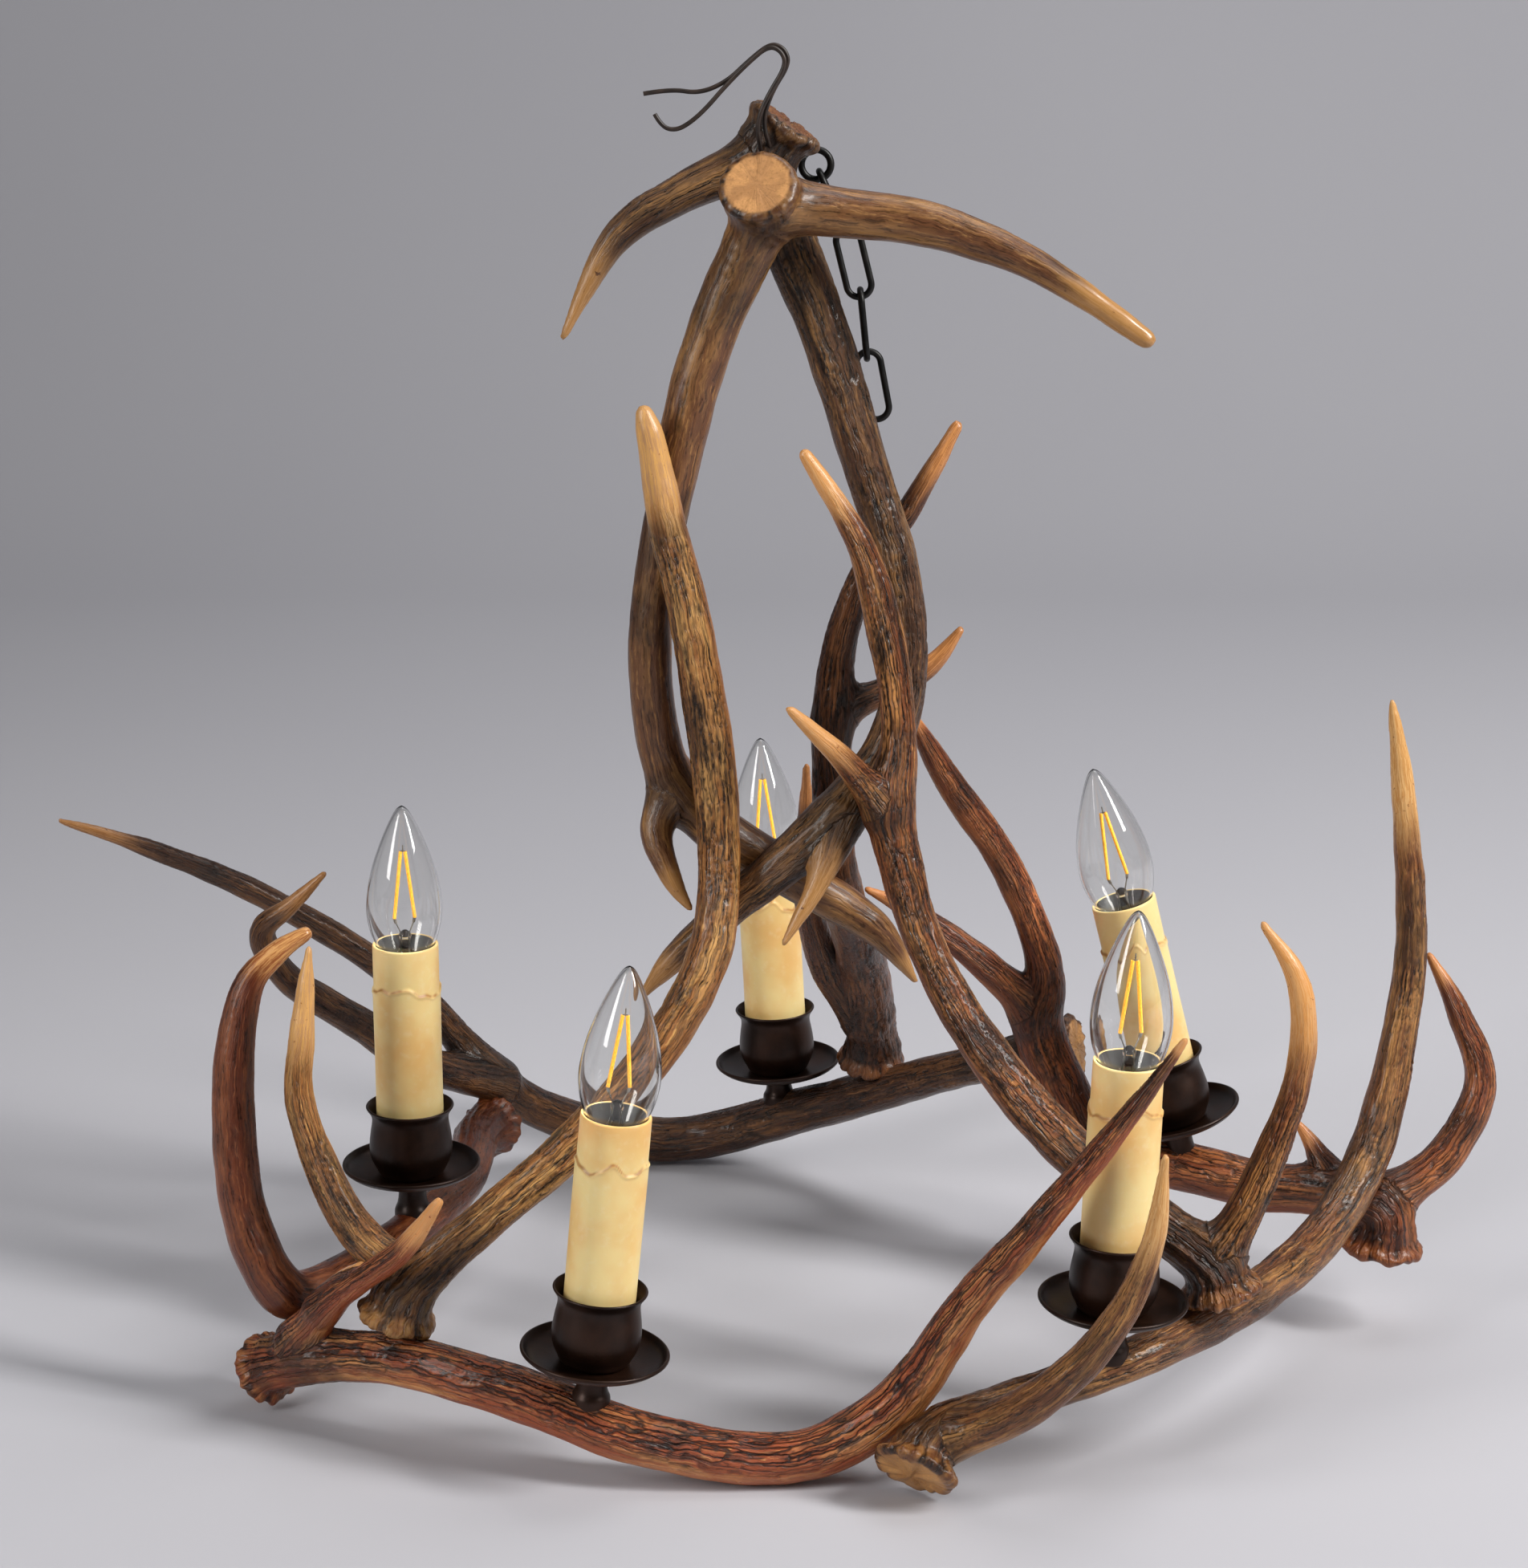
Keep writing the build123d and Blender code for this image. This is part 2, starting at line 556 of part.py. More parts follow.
# ---------------------------------------------------------------- assembly
def build():
    fat = {name: antler(spec, SEAT_GAP) for name, spec in ANTLERS.items()}
    pieces = {name: antler(spec) for name, spec in ANTLERS.items()}
    screws = []
    for upper, lower, way in JOINTS:
        pieces[upper] = largest(pieces[upper].cut(fat[lower]))
        near, far = nearest_pair(ANTLERS[upper], ANTLERS[lower])
        if way == "stands":
            near, far = far, near
        hole = screw_solid(near, far, SCREW_CLEARANCE)
        for name in (upper, lower):
            pieces[name] = largest(pieces[name].cut(hole))
        screws.append(screw_solid(near, far))
    pieces["joint_screws"] = Compound(screws)

    for name, carrier, place, lean, height in LAMPS:
        spot = lamp_frame(ANTLERS[carrier], place, lean)
        floor = height + DISH_WALL + CUP_WALL + 2 * FIT_GAP
        seat = height + FIT_GAP / 3
        foot = floor + SLEEVE_SEAT
        mouth = foot + SLEEVE_LENGTH - HOLDER_BELOW
        glass_base = mouth + FIT_GAP
        pieces[f"{name}_lamp_stem"] = largest((spot * stem(height)).cut(fat[carrier]))
        pieces[f"{name}_drip_dish"] = spot * dish(seat)
        pieces[f"{name}_candle_cup"] = spot * cup(seat + DISH_WALL + FIT_GAP / 3)
        pieces[f"{name}_lampholder"] = spot * lampholder(floor, mouth)
        pieces[f"{name}_candle_sleeve"] = spot * sleeve(foot)
        pieces[f"{name}_bulb_glass"] = spot * glass(glass_base)
        pieces[f"{name}_bulb_cap"] = spot * cap(glass_base - FIT_GAP / 3)
        pieces[f"{name}_bulb_filament"] = spot * filament(glass_base + FIT_GAP / 3)

    crown = ANTLERS["crown_antler_right"]
    pieces["crown_antler_right"] = largest(
        pieces["crown_antler_right"].cut(eye_shank(crown, EYE_WIRE + SCREW_CLEARANCE))
    )
    pieces["hanging_eye"] = hanging_eye(crown)
    for route in FLEX_ROUTES.values():
        pieces["crown_antler_right"] = largest(pieces["crown_antler_right"].cut(flex_hole(route)))
    link = link_shape()
    for number, plane in enumerate(chain_planes(), start=1):
        pieces[f"chain_link_{number}"] = plane * link
    for name, route in FLEX_ROUTES.items():
        pieces[name] = flex_tube(route)
    return pieces


os.makedirs("parts", exist_ok=True)
to_origin = Pos(*(-value for value in EYE_CENTRE))
for node, piece in build().items():
    export_step(to_origin * piece, f"parts/{node}.step")
    print(node)
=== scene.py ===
import math

import bpy
import numpy as np
from mathutils import Matrix, Vector, noise


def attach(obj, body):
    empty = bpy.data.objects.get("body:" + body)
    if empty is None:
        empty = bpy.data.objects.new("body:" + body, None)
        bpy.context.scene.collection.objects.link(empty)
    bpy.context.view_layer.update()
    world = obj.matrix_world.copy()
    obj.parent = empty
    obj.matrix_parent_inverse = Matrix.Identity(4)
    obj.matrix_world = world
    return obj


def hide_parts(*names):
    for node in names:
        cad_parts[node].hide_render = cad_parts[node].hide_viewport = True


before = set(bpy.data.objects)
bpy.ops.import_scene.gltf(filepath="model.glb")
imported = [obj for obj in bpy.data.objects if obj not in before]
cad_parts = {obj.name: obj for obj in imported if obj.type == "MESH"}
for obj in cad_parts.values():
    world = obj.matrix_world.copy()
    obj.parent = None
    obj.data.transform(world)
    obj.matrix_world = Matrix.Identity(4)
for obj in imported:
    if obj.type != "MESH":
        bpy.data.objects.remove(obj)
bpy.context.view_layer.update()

# ------------ sizes, mm, floor at z = 0
MM = 0.001                      # in metres
EYE = Vector((-1, 40, 547))     # the hanging eye, which is the model's origin
FLOOR_Z = -0.547                # m

CAMERA_SPOT = (-24, -1535, 700)
CAMERA_PITCH = 15.5             # degrees down
CAMERA_LENS, SENSOR_WIDTH = 81.06, 36

VOXEL = 1.25     # pitch of an antler's mesh
TUBE_PITCH = 5                  # between the rings of a beam or a tine
TUBE_SIDES = 40
TIP_DOME = [(0.50, 0.87), (0.85, 0.53), (0.97, 0.24)]   # past a tip and across, by its radius
BURR_LENGTH = 12.0              # of the coronet round a sawn foot
FILLET = 11.0                   # reach of the web between a tine and its beam
SOLID_SHARP, TURNED_SHARP = 35, 50      # edges that turn by more degrees stay sharp

# Each antler: the radius of its burr, then the stations of its beam from the foot to the tip and
# of its tines from the beam to the tip. A station is x, y, height above the floor and radius.
ANTLERS = {
    "ring_antler_front": {"burr": 17.0, "beam": [
        (-251, -62, 16, 13), (-236, -75, 26, 12), (-191, -100, 39, 11.5), (-133, -128, 36, 12),
        (-77, -143, 21, 12), (-14, -143, 12, 11.5), (31, -142, 35, 11.5), (63, -148, 86, 9),
        (85, -153, 116, 8), (125, -161, 173, 5), (149, -166, 211, 2),
    ], "tines": [[
        (-235, -77, 36, 10), (-210, -102, 70, 6.5), (-181, -120, 98, 5.5), (-163, -130, 125, 2.5),
    ], [
        (-222, -92, 58, 4.5), (-210, -95, 73, 3.5), (-200, -99, 83, 2),
    ]]},
    "ring_antler_right_front": {"burr": 20.0, "beam": [
        (39, -166, 15.5, 13.5), (50, -154, 28, 11.5), (89, -142, 40, 9.5), (139, -126, 52, 9.5),
        (190, -76, 55, 10.5), (233, -20, 63, 10.5), (262, 18, 94, 10.5), (276, 35, 150, 8.5),
        (279, 40, 196, 7.5), (272, 45, 265, 5.5), (266, 46, 301, 1.6),
    ], "tines": [[
        (54, -156, 27, 10), (87, -172, 50, 9), (117, -181, 84, 7.5), (135, -186, 126, 5.5),
        (140, -187, 168, 2.2),
    ]]},
    "ring_antler_right_back": {"burr": 21.0, "beam": [
        (268, 20, 40, 15), (267, 20, 61, 13.5), (238, 32, 65, 12), (184, 52, 60, 12),
        (142, 67, 68, 12.5), (116, 79, 110, 13), (109, 83, 133, 12), (112, 84, 159, 9),
        (92, 78, 211, 8), (62, 66, 259, 7), (42, 58, 296, 2.5),
    ], "tines": [[
        (109, 83, 134, 10), (80, 80, 164, 7.5), (48, 76, 189, 5.5), (25, 73, 202, 2),
    ], [
        (268, 22, 64, 10), (297, 30, 81, 9.5), (316, 42, 115, 8), (306, 49, 147, 6),
        (291, 54, 175, 2.5),
    ], [
        (249, 28, 68, 7.5), (235, 37, 89, 4), (228, 39, 98, 1.6),
    ]]},
    "ring_antler_back": {"burr": 18.0, "beam": [
        (130, 100, 112, 14), (108, 109, 106, 11.5), (76, 141, 87, 10), (37, 177, 62, 11),
        (-10, 208, 37, 12), (-56, 229, 16.2, 12), (-95, 227, 16.6, 11.8), (-146, 188, 50, 10.5),
        (-173, 172, 84, 8.5), (-211, 159, 130, 7.5), (-268, 143, 174, 6.5), (-321, 131, 203, 5),
        (-368, 122, 222, 1.8),
    ], "tines": [[
        (-158, 178, 64, 9.5), (-195, 144, 88, 9.5), (-225, 116, 120, 8.5), (-255, 92, 151, 7.5),
        (-265, 80, 178, 6.5), (-250, 76, 193, 4.5), (-233, 73, 210, 2),
    ]]},
    "ring_antler_left": {"burr": 16.0, "beam": [
        (-162, 165, 47, 12.5), (-169, 140, 50, 11.5), (-172, 80, 50, 10.5), (-190, 20, 50, 10.5),
        (-222, -45, 50, 11), (-241, -68, 58, 11.5), (-257, -63, 95, 10.5), (-261, -52, 150, 9.5),
        (-255, -44, 190, 7.5), (-242, -38, 206, 5.5), (-229, -34, 214, 3.5),
    ], "tines": []},
    "upright_antler_left": {"burr": 18.5, "beam": [
        (-187, -99, 55, 14), (-178, -98, 73, 11.5), (-144, -92, 103, 9.5), (-102, -80, 138, 10),
        (-67, -60, 175, 10), (-48, -40, 209, 10), (-44, -24, 244, 9.5), (-47, -17, 290, 10.5),
        (-56, -16, 351, 9.5), (-67, -13, 399, 8.5), (-74, -12, 438, 6), (-76, -12, 445, 4.2),
    ], "tines": [[
        (-182, -96, 78, 10), (-207, -82, 96, 9), (-228, -71, 144, 7), (-227, -65, 183, 5.5),
        (-224, -59, 216, 2),
    ]]},
    "upright_antler_right": {"burr": 19.0, "beam": [
        (177, -100, 68, 14), (170, -98, 84, 12), (141, -88, 105, 11), (103, -71, 135, 11),
        (70, -53, 173, 10), (48, -38, 211, 9), (35, -26, 253, 10.5), (33, -22, 272, 11),
        (36, -16, 307, 8), (29, -10, 350, 8.5), (18, -8, 387, 6.5), (-6, -8, 426, 3.4),
    ], "tines": [[
        (30, -24, 268, 8), (11, -35, 295, 6), (-13, -47, 321, 2.3),
    ], [
        (173, -99, 86, 10), (190, -92, 112, 8.5), (210, -78, 162, 6.5), (210, -71, 202, 5.5),
        (194, -66, 229, 2.3),
    ]]},
    "upright_antler_back": {"burr": 18.0, "beam": [
        (31, 183, 73, 15), (31, 176, 92, 13), (27, 138, 137, 12), (20, 95, 171, 11),
        (10, 32, 223, 10), (8, 25, 250, 9.5), (7, 29, 294, 9.5), (11, 34, 332, 8),
        (23, 36, 367, 6.5), (41, 38, 392, 6), (63, 47, 429, 3.2),
    ], "tines": [[
        (8, 31, 300, 8), (32, 37, 309, 6.5), (52, 41, 319, 5), (66, 45, 335, 2.4),
    ], [
        (27, 168, 104, 10), (7, 136, 142, 8.5), (-4, 100, 195, 6.5), (-4, 82, 235, 4.5),
        (-4, 72, 263, 2),
    ]]},
    "crown_antler_left": {"burr": 18.0, "beam": [
        (-27, -13, 544, 14), (-26, 4, 526, 13), (-45, 7, 482, 11.5), (-57, 6, 444, 11),
        (-71, 3, 376, 9.5), (-75, 2, 330, 10), (-68, 3, 282, 10.5), (-43, 5, 250, 11.5),
        (-6, 9, 225, 10.5), (27, 14, 202, 8), (46, 20, 174, 2),
    ], "tines": [[
        (-64, 3, 273, 9), (-73, -6, 255, 7.5), (-65, -18, 234, 5), (-57, -24, 223, 2),
    ], [
        (-28, -2, 535, 13), (10, 3, 530, 11), (52, 0, 524, 10), (96, -8, 507, 7),
        (141, -17, 478, 4.6),
    ]]},
    "crown_antler_right": {"burr": 18.5, "beam": [
        (-13, 30, 567, 14), (-22, 30, 552, 13), (-22, 30, 536, 12.5), (-14, 30, 516, 12.5),
        (2, 28, 477, 11.5), (22, 24, 414, 10.5), (35, 19, 371, 10.5), (40, 12, 326, 10),
        (29, -1, 287, 10.5), (-3, -12, 252, 11), (-37, -13, 222, 9), (-66, -15, 195, 6),
        (-79, -16, 179, 2),
    ], "tines": [[
        (13, -10, 264, 9), (0, -28, 236, 5.5), (-15, -40, 212, 2),
    ], [
        (-22, 30, 552, 12), (-60, 25, 536, 9), (-90, 18, 516, 7), (-112, 10, 475, 2),
    ]]},
}

# Each lamp: name, the antler that carries it, where on the beam seen from above, how many
# degrees it leans to the right, and the height of its stem.
LAMPS = [
    ("left", "ring_antler_left", (-189, 20), 0.0, 17.0),
    ("front", "ring_antler_front", (-100, -140), 5.5, 15.0),
    ("right_front", "ring_antler_right_front", (124, -131), 2.0, 17.0),
    ("right_back", "ring_antler_right_back", (181, 53), -14.0, 20.0),
    ("back", "ring_antler_back", (-14, 210), -3.0, 13.0),
]

# Looks of each antler: colours of its grooves, body, ridges and tips, the side with the roughest
# bark, how deep its grooves are, how much its bark is cracked, and how far down from the tip the
# beam and each tine are pale.
LOOK_FIELDS = ("groove", "body", "ridge", "tip", "rough_side", "depth", "cracked", "pale")
LOOKS = {
    "ring_antler_front": (
        "#110502", "#a04d27", "#df9a5c", "#d29a60", (0, -0.15, 1), 1.0, 1.0, (14, 45, 35)),
    "ring_antler_right_front": (
        "#100702", "#774521", "#c68e50", "#dcae72", (0.2, -0.4, 1), 0.9, 0.45, (105, 75)),
    "ring_antler_right_back": (
        "#120602", "#84411f", "#c67b44", "#cf8f55", (0, -0.3, 1), 0.9, 0.7, (25, 30, 30, 25)),
    "ring_antler_back": (
        "#090402", "#4a2914", "#8f5f34", "#b5824e", (0, -0.6, 0.8), 0.9, 0.4, (60, 50)),
    "ring_antler_left": (
        "#0e0502", "#612b12", "#95562f", "#cf9a5e", (0.3, -0.3, 1), 0.5, 0.2, (48,)),
    "upright_antler_left": (
        "#130802", "#99602c", "#dca762", "#bb8c5e", (-0.3, -0.8, 0.5), 1.0, 0.5, (75, 80)),
    "upright_antler_right": (
        "#110602", "#84461d", "#d19150", "#d6a168", (0.2, -0.8, 0.5), 1.1, 0.7, (55, 60, 110)),
    "upright_antler_back": (
        "#0d0602", "#613213", "#9b6438", "#c8884e", (0, -0.8, 0.4), 1.0, 0.4, (55, 45, 40)),
    "crown_antler_left": (
        "#0f0702", "#674025", "#a87a46", "#b0824f", (0, -0.8, 0.5), 0.35, 0.15, (30, 35, 75)),
    "crown_antler_right": (
        "#0d0602", "#5c3a22", "#a17442", "#b68856", (0, -0.8, 0.5), 1.0, 0.4, (40, 70, 70)),
}
SAWN_FACES = {"crown_antler_left": "#c48f58", "crown_antler_right": "#6f4023"}
BURR_FACE = "#b58550"
KNOB_HEIGHT = 2.1                               # how far the pearls of a coronet stand out
KNOB_HEIGHTS = {"crown_antler_left": 0.7}       # the same on a smoother coronet


# ------------ helpers
def hex_colour(text):
    """Linear RGBA of a #rrggbb colour."""
    values = [int(text[i:i + 2], 16) / 255 for i in (1, 3, 5)]
    linear = [v / 12.92 if v <= 0.04045 else ((v + 0.055) / 1.055) ** 2.4 for v in values]
    return (*linear, 1.0)


def local(point):
    """A point in mm above the floor as a vector in the model's frame, in metres."""
    return (Vector(point[:3]) - EYE) * MM


def between(p, q, r, s, t):
    """The value at a share t of the way from q to r, on a Catmull-Rom curve through all four."""
    return q + 0.5 * t * (r - p + t * (2 * p - 5 * q + 4 * r - s + t * (3 * q - p - 3 * r + s)))


def spline_rows(points, count):
    """Rows on a Catmull-Rom curve through the points. count says how many a span gets."""
    padded = [points[0], *points, points[-1]]
    rows = []
    for a, b, c, d in zip(padded, padded[1:], padded[2:], padded[3:]):
        steps = count(b, c)
        for step in range(steps):
            rows.append(tuple(between(*values, step / steps) for values in zip(a, b, c, d)))
    return rows + [points[-1]]


def smooth(stations, pitch):
    """Stations about one pitch apart on a curve through the given ones."""
    return spline_rows(stations, lambda b, c: max(1, round(math.dist(b[:3], c[:3]) / pitch)))


def rounded(points, steps=5):
    """More points on a curve through a profile. A point given twice stays a corner."""
    rows = spline_rows(points, lambda b, c: 1 if b == c else steps)
    return [row for i, row in enumerate(rows) if i == 0 or math.dist(row, rows[i - 1]) > 1e-4]


def merged(bodies):
    """Vertices and faces of several bodies, as one list of each."""
    verts, faces = [], []
    for more_verts, more_faces in bodies:
        faces += [tuple(i + len(verts) for i in face) for face in more_faces]
        verts += list(more_verts)
    return verts, faces


def ring_faces(rings):
    """Faces between rings of vertex numbers. A ring may be a single vertex."""
    faces = []
    for low, high in zip(rings, rings[1:]):
        sides = max(len(low), len(high))
        for step in range(sides):
            after = (step + 1) % sides
            a = [low[step], low[after]] if len(low) > 1 else [low[0]]
            b = [high[after], high[step]] if len(high) > 1 else [high[0]]
            if len(a) + len(b) > 2:
                faces.append(tuple(a + b))
    return faces


def closed_faces(count, sides):
    """Faces of a tube of equal rings, with both ends closed."""
    rings = [range(i * sides, (i + 1) * sides) for i in range(count)]
    return ring_faces(rings) + [tuple(reversed(rings[0])), tuple(rings[-1])]


def add_object(name, data):
    obj = bpy.data.objects.new(name, data)
    bpy.context.scene.collection.objects.link(obj)
    return obj


def mesh_object(name, verts, faces, sharp=None):
    """A smooth mesh. Edges that turn by more than sharp degrees stay sharp."""
    mesh = bpy.data.meshes.new(name)
    mesh.from_pydata([tuple(v) for v in verts], [], faces)
    mesh.validate()
    mesh.shade_smooth()
    if sharp:
        mesh.set_sharp_from_angle(angle=math.radians(sharp))
    return add_object(name, mesh)


def dress(obj, material):
    obj.data.materials.clear()
    obj.data.materials.append(material)


def place(obj, body, material, replaced=()):
    """Gives a finished piece its material, its body and the nodes that it stands for."""
    dress(obj, material)
    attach(obj, body)
    if replaced:
        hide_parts(*replaced)


def paint(node, material):
    """Shows a node's own solid in a material."""
    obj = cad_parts[node]
    dress(obj, material)
    obj.data.shade_smooth()
    obj.data.set_sharp_from_angle(angle=math.radians(SOLID_SHARP))


# ------------ node shorthand
class Nodes:
    """A material's node tree, with short calls to add and link nodes."""

    def __init__(self, name):
        self.material = bpy.data.materials.new(name)
        self.material.use_nodes = True
        self.tree = self.material.node_tree
        self.shader = self.tree.nodes["Principled BSDF"]
        self.output = self.tree.nodes["Material Output"]

    def set(self, socket, value):
        """Links a socket to another one, or gives it a plain value or a #rrggbb colour."""
        if isinstance(value, bpy.types.NodeSocket):
            self.tree.links.new(value, socket)
        else:
            socket.default_value = hex_colour(value) if isinstance(value, str) else value

    def add(self, kind, inputs=(), **settings):
        node = self.tree.nodes.new(kind)
        for key, value in settings.items():
            setattr(node, key, value)
        for key, value in dict(inputs).items():
            self.set(node.inputs[key], value)
        return node

    def spot(self):
        return self.add("ShaderNodeTexCoord").outputs["Object"]

    def attribute(self, name, output="Fac"):
        return self.add("ShaderNodeAttribute", attribute_name=name).outputs[output]

    def noise(self, vector, scale, detail=4.0, rough=0.55):
        inputs = {"Vector": vector, "Scale": scale, "Detail": detail, "Roughness": rough}
        return self.add("ShaderNodeTexNoise", inputs).outputs["Fac"]

    def math(self, operation, a, b, clamp=False):
        node = self.add("ShaderNodeMath", {0: a, 1: b}, operation=operation)
        node.use_clamp = clamp
        return node.outputs[0]

    def plus(self, a, b):
        return self.math("ADD", a, b)

    def minus(self, a, b):
        return self.math("SUBTRACT", a, b)

    def times(self, a, b, clamp=False):
        return self.math("MULTIPLY", a, b, clamp)

    def vector(self, operation, a, b):
        second = 3 if operation == "SCALE" else 1
        node = self.add("ShaderNodeVectorMath", {0: a, second: b}, operation=operation)
        return node.outputs[0]

    def ramp(self, value, low, high):
        """0 below low, 1 above high, smooth between."""
        node = self.add("ShaderNodeMapRange", {"Value": value, "From Min": low, "From Max": high})
        node.interpolation_type = "SMOOTHSTEP"
        return node.outputs["Result"]

    def mix(self, factor, a, b):
        node = self.add("ShaderNodeMix", data_type="RGBA")
        self.set(node.inputs["Factor"], factor)
        self.set(node.inputs[6], a)
        self.set(node.inputs[7], b)
        return node.outputs[2]

    def bump(self, height, strength, distance):
        inputs = {"Height": height, "Strength": strength, "Distance": distance}
        return self.add("ShaderNodeBump", inputs).outputs["Normal"]

    def finish(self, **values):
        for key, value in values.items():
            self.set(self.shader.inputs[key.replace("_", " ")], value)
        return self.material


# ------------ materials
# Noises of horn, in cells per metre.
WANDER_SCALE, STREAK_SCALE, BAND_SCALE, CRACK_SCALE = 95.0, 780.0, 170.0, 400.0
PATCH_SCALE, STAIN_SCALE, FOOT_FORK_DARK_SCALE = 14.0, 21.0, 40.0
PEARL_SCALE, FLECK_SCALE, PORE_SCALE, CLOUD_SCALE = 260.0, 420.0, 900.0, 90.0
WANDER_REACH = 0.0032           # how far the streaks stray sideways, m
HORN_RELIEF = 0.0016            # height of the streaks and cracks, m
GRAIN_RADIUS = 0.011            # the grain is laid out on a beam of this radius, m
GRAIN_STRETCH = 0.075           # how much slower the grain changes along an antler
GRAIN_SHIFT = 0.07              # between the grain of one branch and of the next, m


def horn_grain(n, spot):
    """Coordinates of the streaks: long along the antler, and straying a little sideways."""
    wander = n.add("ShaderNodeTexNoise", {"Vector": spot, "Scale": WANDER_SCALE, "Detail": 2.0})
    wander = n.vector("SUBTRACT", wander.outputs["Color"], (0.5, 0.5, 0.5))
    wander = n.vector("SCALE", wander, WANDER_REACH)
    return n.vector("ADD", n.attribute("grain", "Vector"), wander)


def bark_colour(n, look, spot, streaks, bands, rough_side):
    """Pale ridges and dark lines along the grain, with calm patches and dark stains."""
    colour = n.mix(n.ramp(bands, 0.40, 0.72), look["body"], look["ridge"])
    calm = n.ramp(n.noise(spot, PATCH_SCALE, 3.0), 0.45, 0.62)
    colour = n.mix(n.times(calm, 0.6), colour, look["body"])
    pale = n.times(n.ramp(streaks, 0.55, 0.69), rough_side)
    colour = n.mix(n.times(pale, 0.9), colour, look["ridge"])
    lined = n.times(n.ramp(streaks, 0.49, 0.37), rough_side)
    colour = n.mix(n.times(lined, 0.4 + 0.5 * look["depth"]), colour, look["groove"])
    stained = n.ramp(n.noise(spot, STAIN_SCALE, 4.0), 0.52, 0.66)
    return n.mix(n.times(stained, 0.5), colour, look["groove"])


def coronet_colour(n, look, spot):
    """The pearls round a burr."""
    light = n.ramp(n.noise(spot, PEARL_SCALE, 3.0), 0.35, 0.60)
    colour = n.mix(n.times(light, 0.6), look["body"], look["ridge"])
    return n.mix(0.35, colour, look["groove"])


def tip_colour(n, look, spot, streaks):
    """Worn, polished horn with a few flecks."""
    colour = n.mix(n.ramp(streaks, 0.38, 0.62), look["ridge"], look["tip"])
    flecks = n.ramp(n.noise(spot, FLECK_SCALE, 3.0), 0.66, 0.74)
    return n.mix(flecks, colour, look["body"])


def sawn_colour(n, look, spot, face):
    """A sawn foot, porous and a little cloudy."""
    pores = n.ramp(n.noise(spot, PORE_SCALE, 2.0), 0.20, 0.55)
    colour = n.mix(pores, look["ridge"], face)
    clouds = n.ramp(n.noise(spot, CLOUD_SCALE, 3.0), 0.4, 0.6)
    return n.mix(n.times(clouds, 0.35), colour, look["body"])


def antler_material(name, look):
    """Horn, from the shares that the antler's mesh carries in its attributes."""
    n = Nodes(name)
    cut, bark, polish = n.attribute("groove"), n.attribute("bark"), n.attribute("tip")
    sawn, shade, rim = n.attribute("sawn"), n.attribute("shade"), n.attribute("rim")
    spot = n.spot()
    grain = horn_grain(n, spot)
    streaks = n.noise(grain, STREAK_SCALE, 6.0, 0.62)
    bands = n.noise(grain, BAND_SCALE, 3.0)
    inputs = {"Vector": grain, "Scale": CRACK_SCALE}
    cells = n.add("ShaderNodeTexVoronoi", inputs, feature="DISTANCE_TO_EDGE")
    crack = n.ramp(cells.outputs["Distance"], 0.16, 0.0)
    rough_side = n.plus(n.times(bark, 0.85), 0.15)

    colour = bark_colour(n, look, spot, streaks, bands, rough_side)
    cracks = n.times(crack, n.times(bark, 0.9 * look["cracked"]))
    colour = n.mix(cracks, colour, look["groove"])
    colour = n.mix(n.times(cut, 0.92, clamp=True), colour, look["groove"])
    # Darker towards the foot, and painted shade in the forks between branches, in patches.
    foot_dark_fork_shade_patches = n.times(shade, n.ramp(n.noise(spot, FOOT_FORK_DARK_SCALE, 4.0), 0.22, 0.54))
    colour = n.mix(n.times(foot_dark_fork_shade_patches, 0.8), colour, look["groove"])
    colour = n.mix(n.times(rim, 0.85), colour, coronet_colour(n, look, spot))
    fade = n.plus(polish, n.times(n.minus(bands, 0.5), 0.6))
    colour = n.mix(n.ramp(fade, 0.2, 0.9), colour, tip_colour(n, look, spot, streaks))
    face = SAWN_FACES.get(name, BURR_FACE)
    colour = n.mix(sawn, colour, sawn_colour(n, look, spot, face))

    rough = n.plus(n.times(n.ramp(streaks, 0.3, 0.7), 0.20), 0.25)
    rough = n.minus(rough, n.times(polish, 0.08))
    rough = n.plus(rough, n.times(sawn, 0.3))
    lumps = n.plus(streaks, n.times(bands, 0.8))
    lumps = n.minus(lumps, n.times(crack, 0.6 * look["cracked"]))
    relief = n.times(n.minus(1.0, n.times(polish, 0.8)), rough_side)
    normal = n.bump(n.times(lumps, relief), 0.9 * look["depth"], HORN_RELIEF)
    return n.finish(
        Base_Color=colour, Roughness=rough, Normal=normal, Coat_Weight=0.18, Coat_Roughness=0.16,
        Specular_IOR_Level=0.40,
    )


def bronze_material():
    """Dark bronze, a little worn along its edges."""
    n = Nodes("dark_bronze")
    spot = n.spot()
    cloud = n.noise(spot, 60.0, 4.0)
    colour = n.mix(n.ramp(cloud, 0.35, 0.7), "#1f110a", "#331e13")
    worn = n.add("ShaderNodeNewGeometry").outputs["Pointiness"]
    colour = n.mix(n.times(n.ramp(worn, 0.52, 0.58), 0.35), colour, "#6f4f3a")
    rough = n.plus(n.times(cloud, 0.2), 0.28)
    normal = n.bump(n.noise(spot, 900.0, 3.0), 0.12, 0.0003)
    return n.finish(Base_Color=colour, Metallic=0.55, Roughness=rough, Normal=normal)


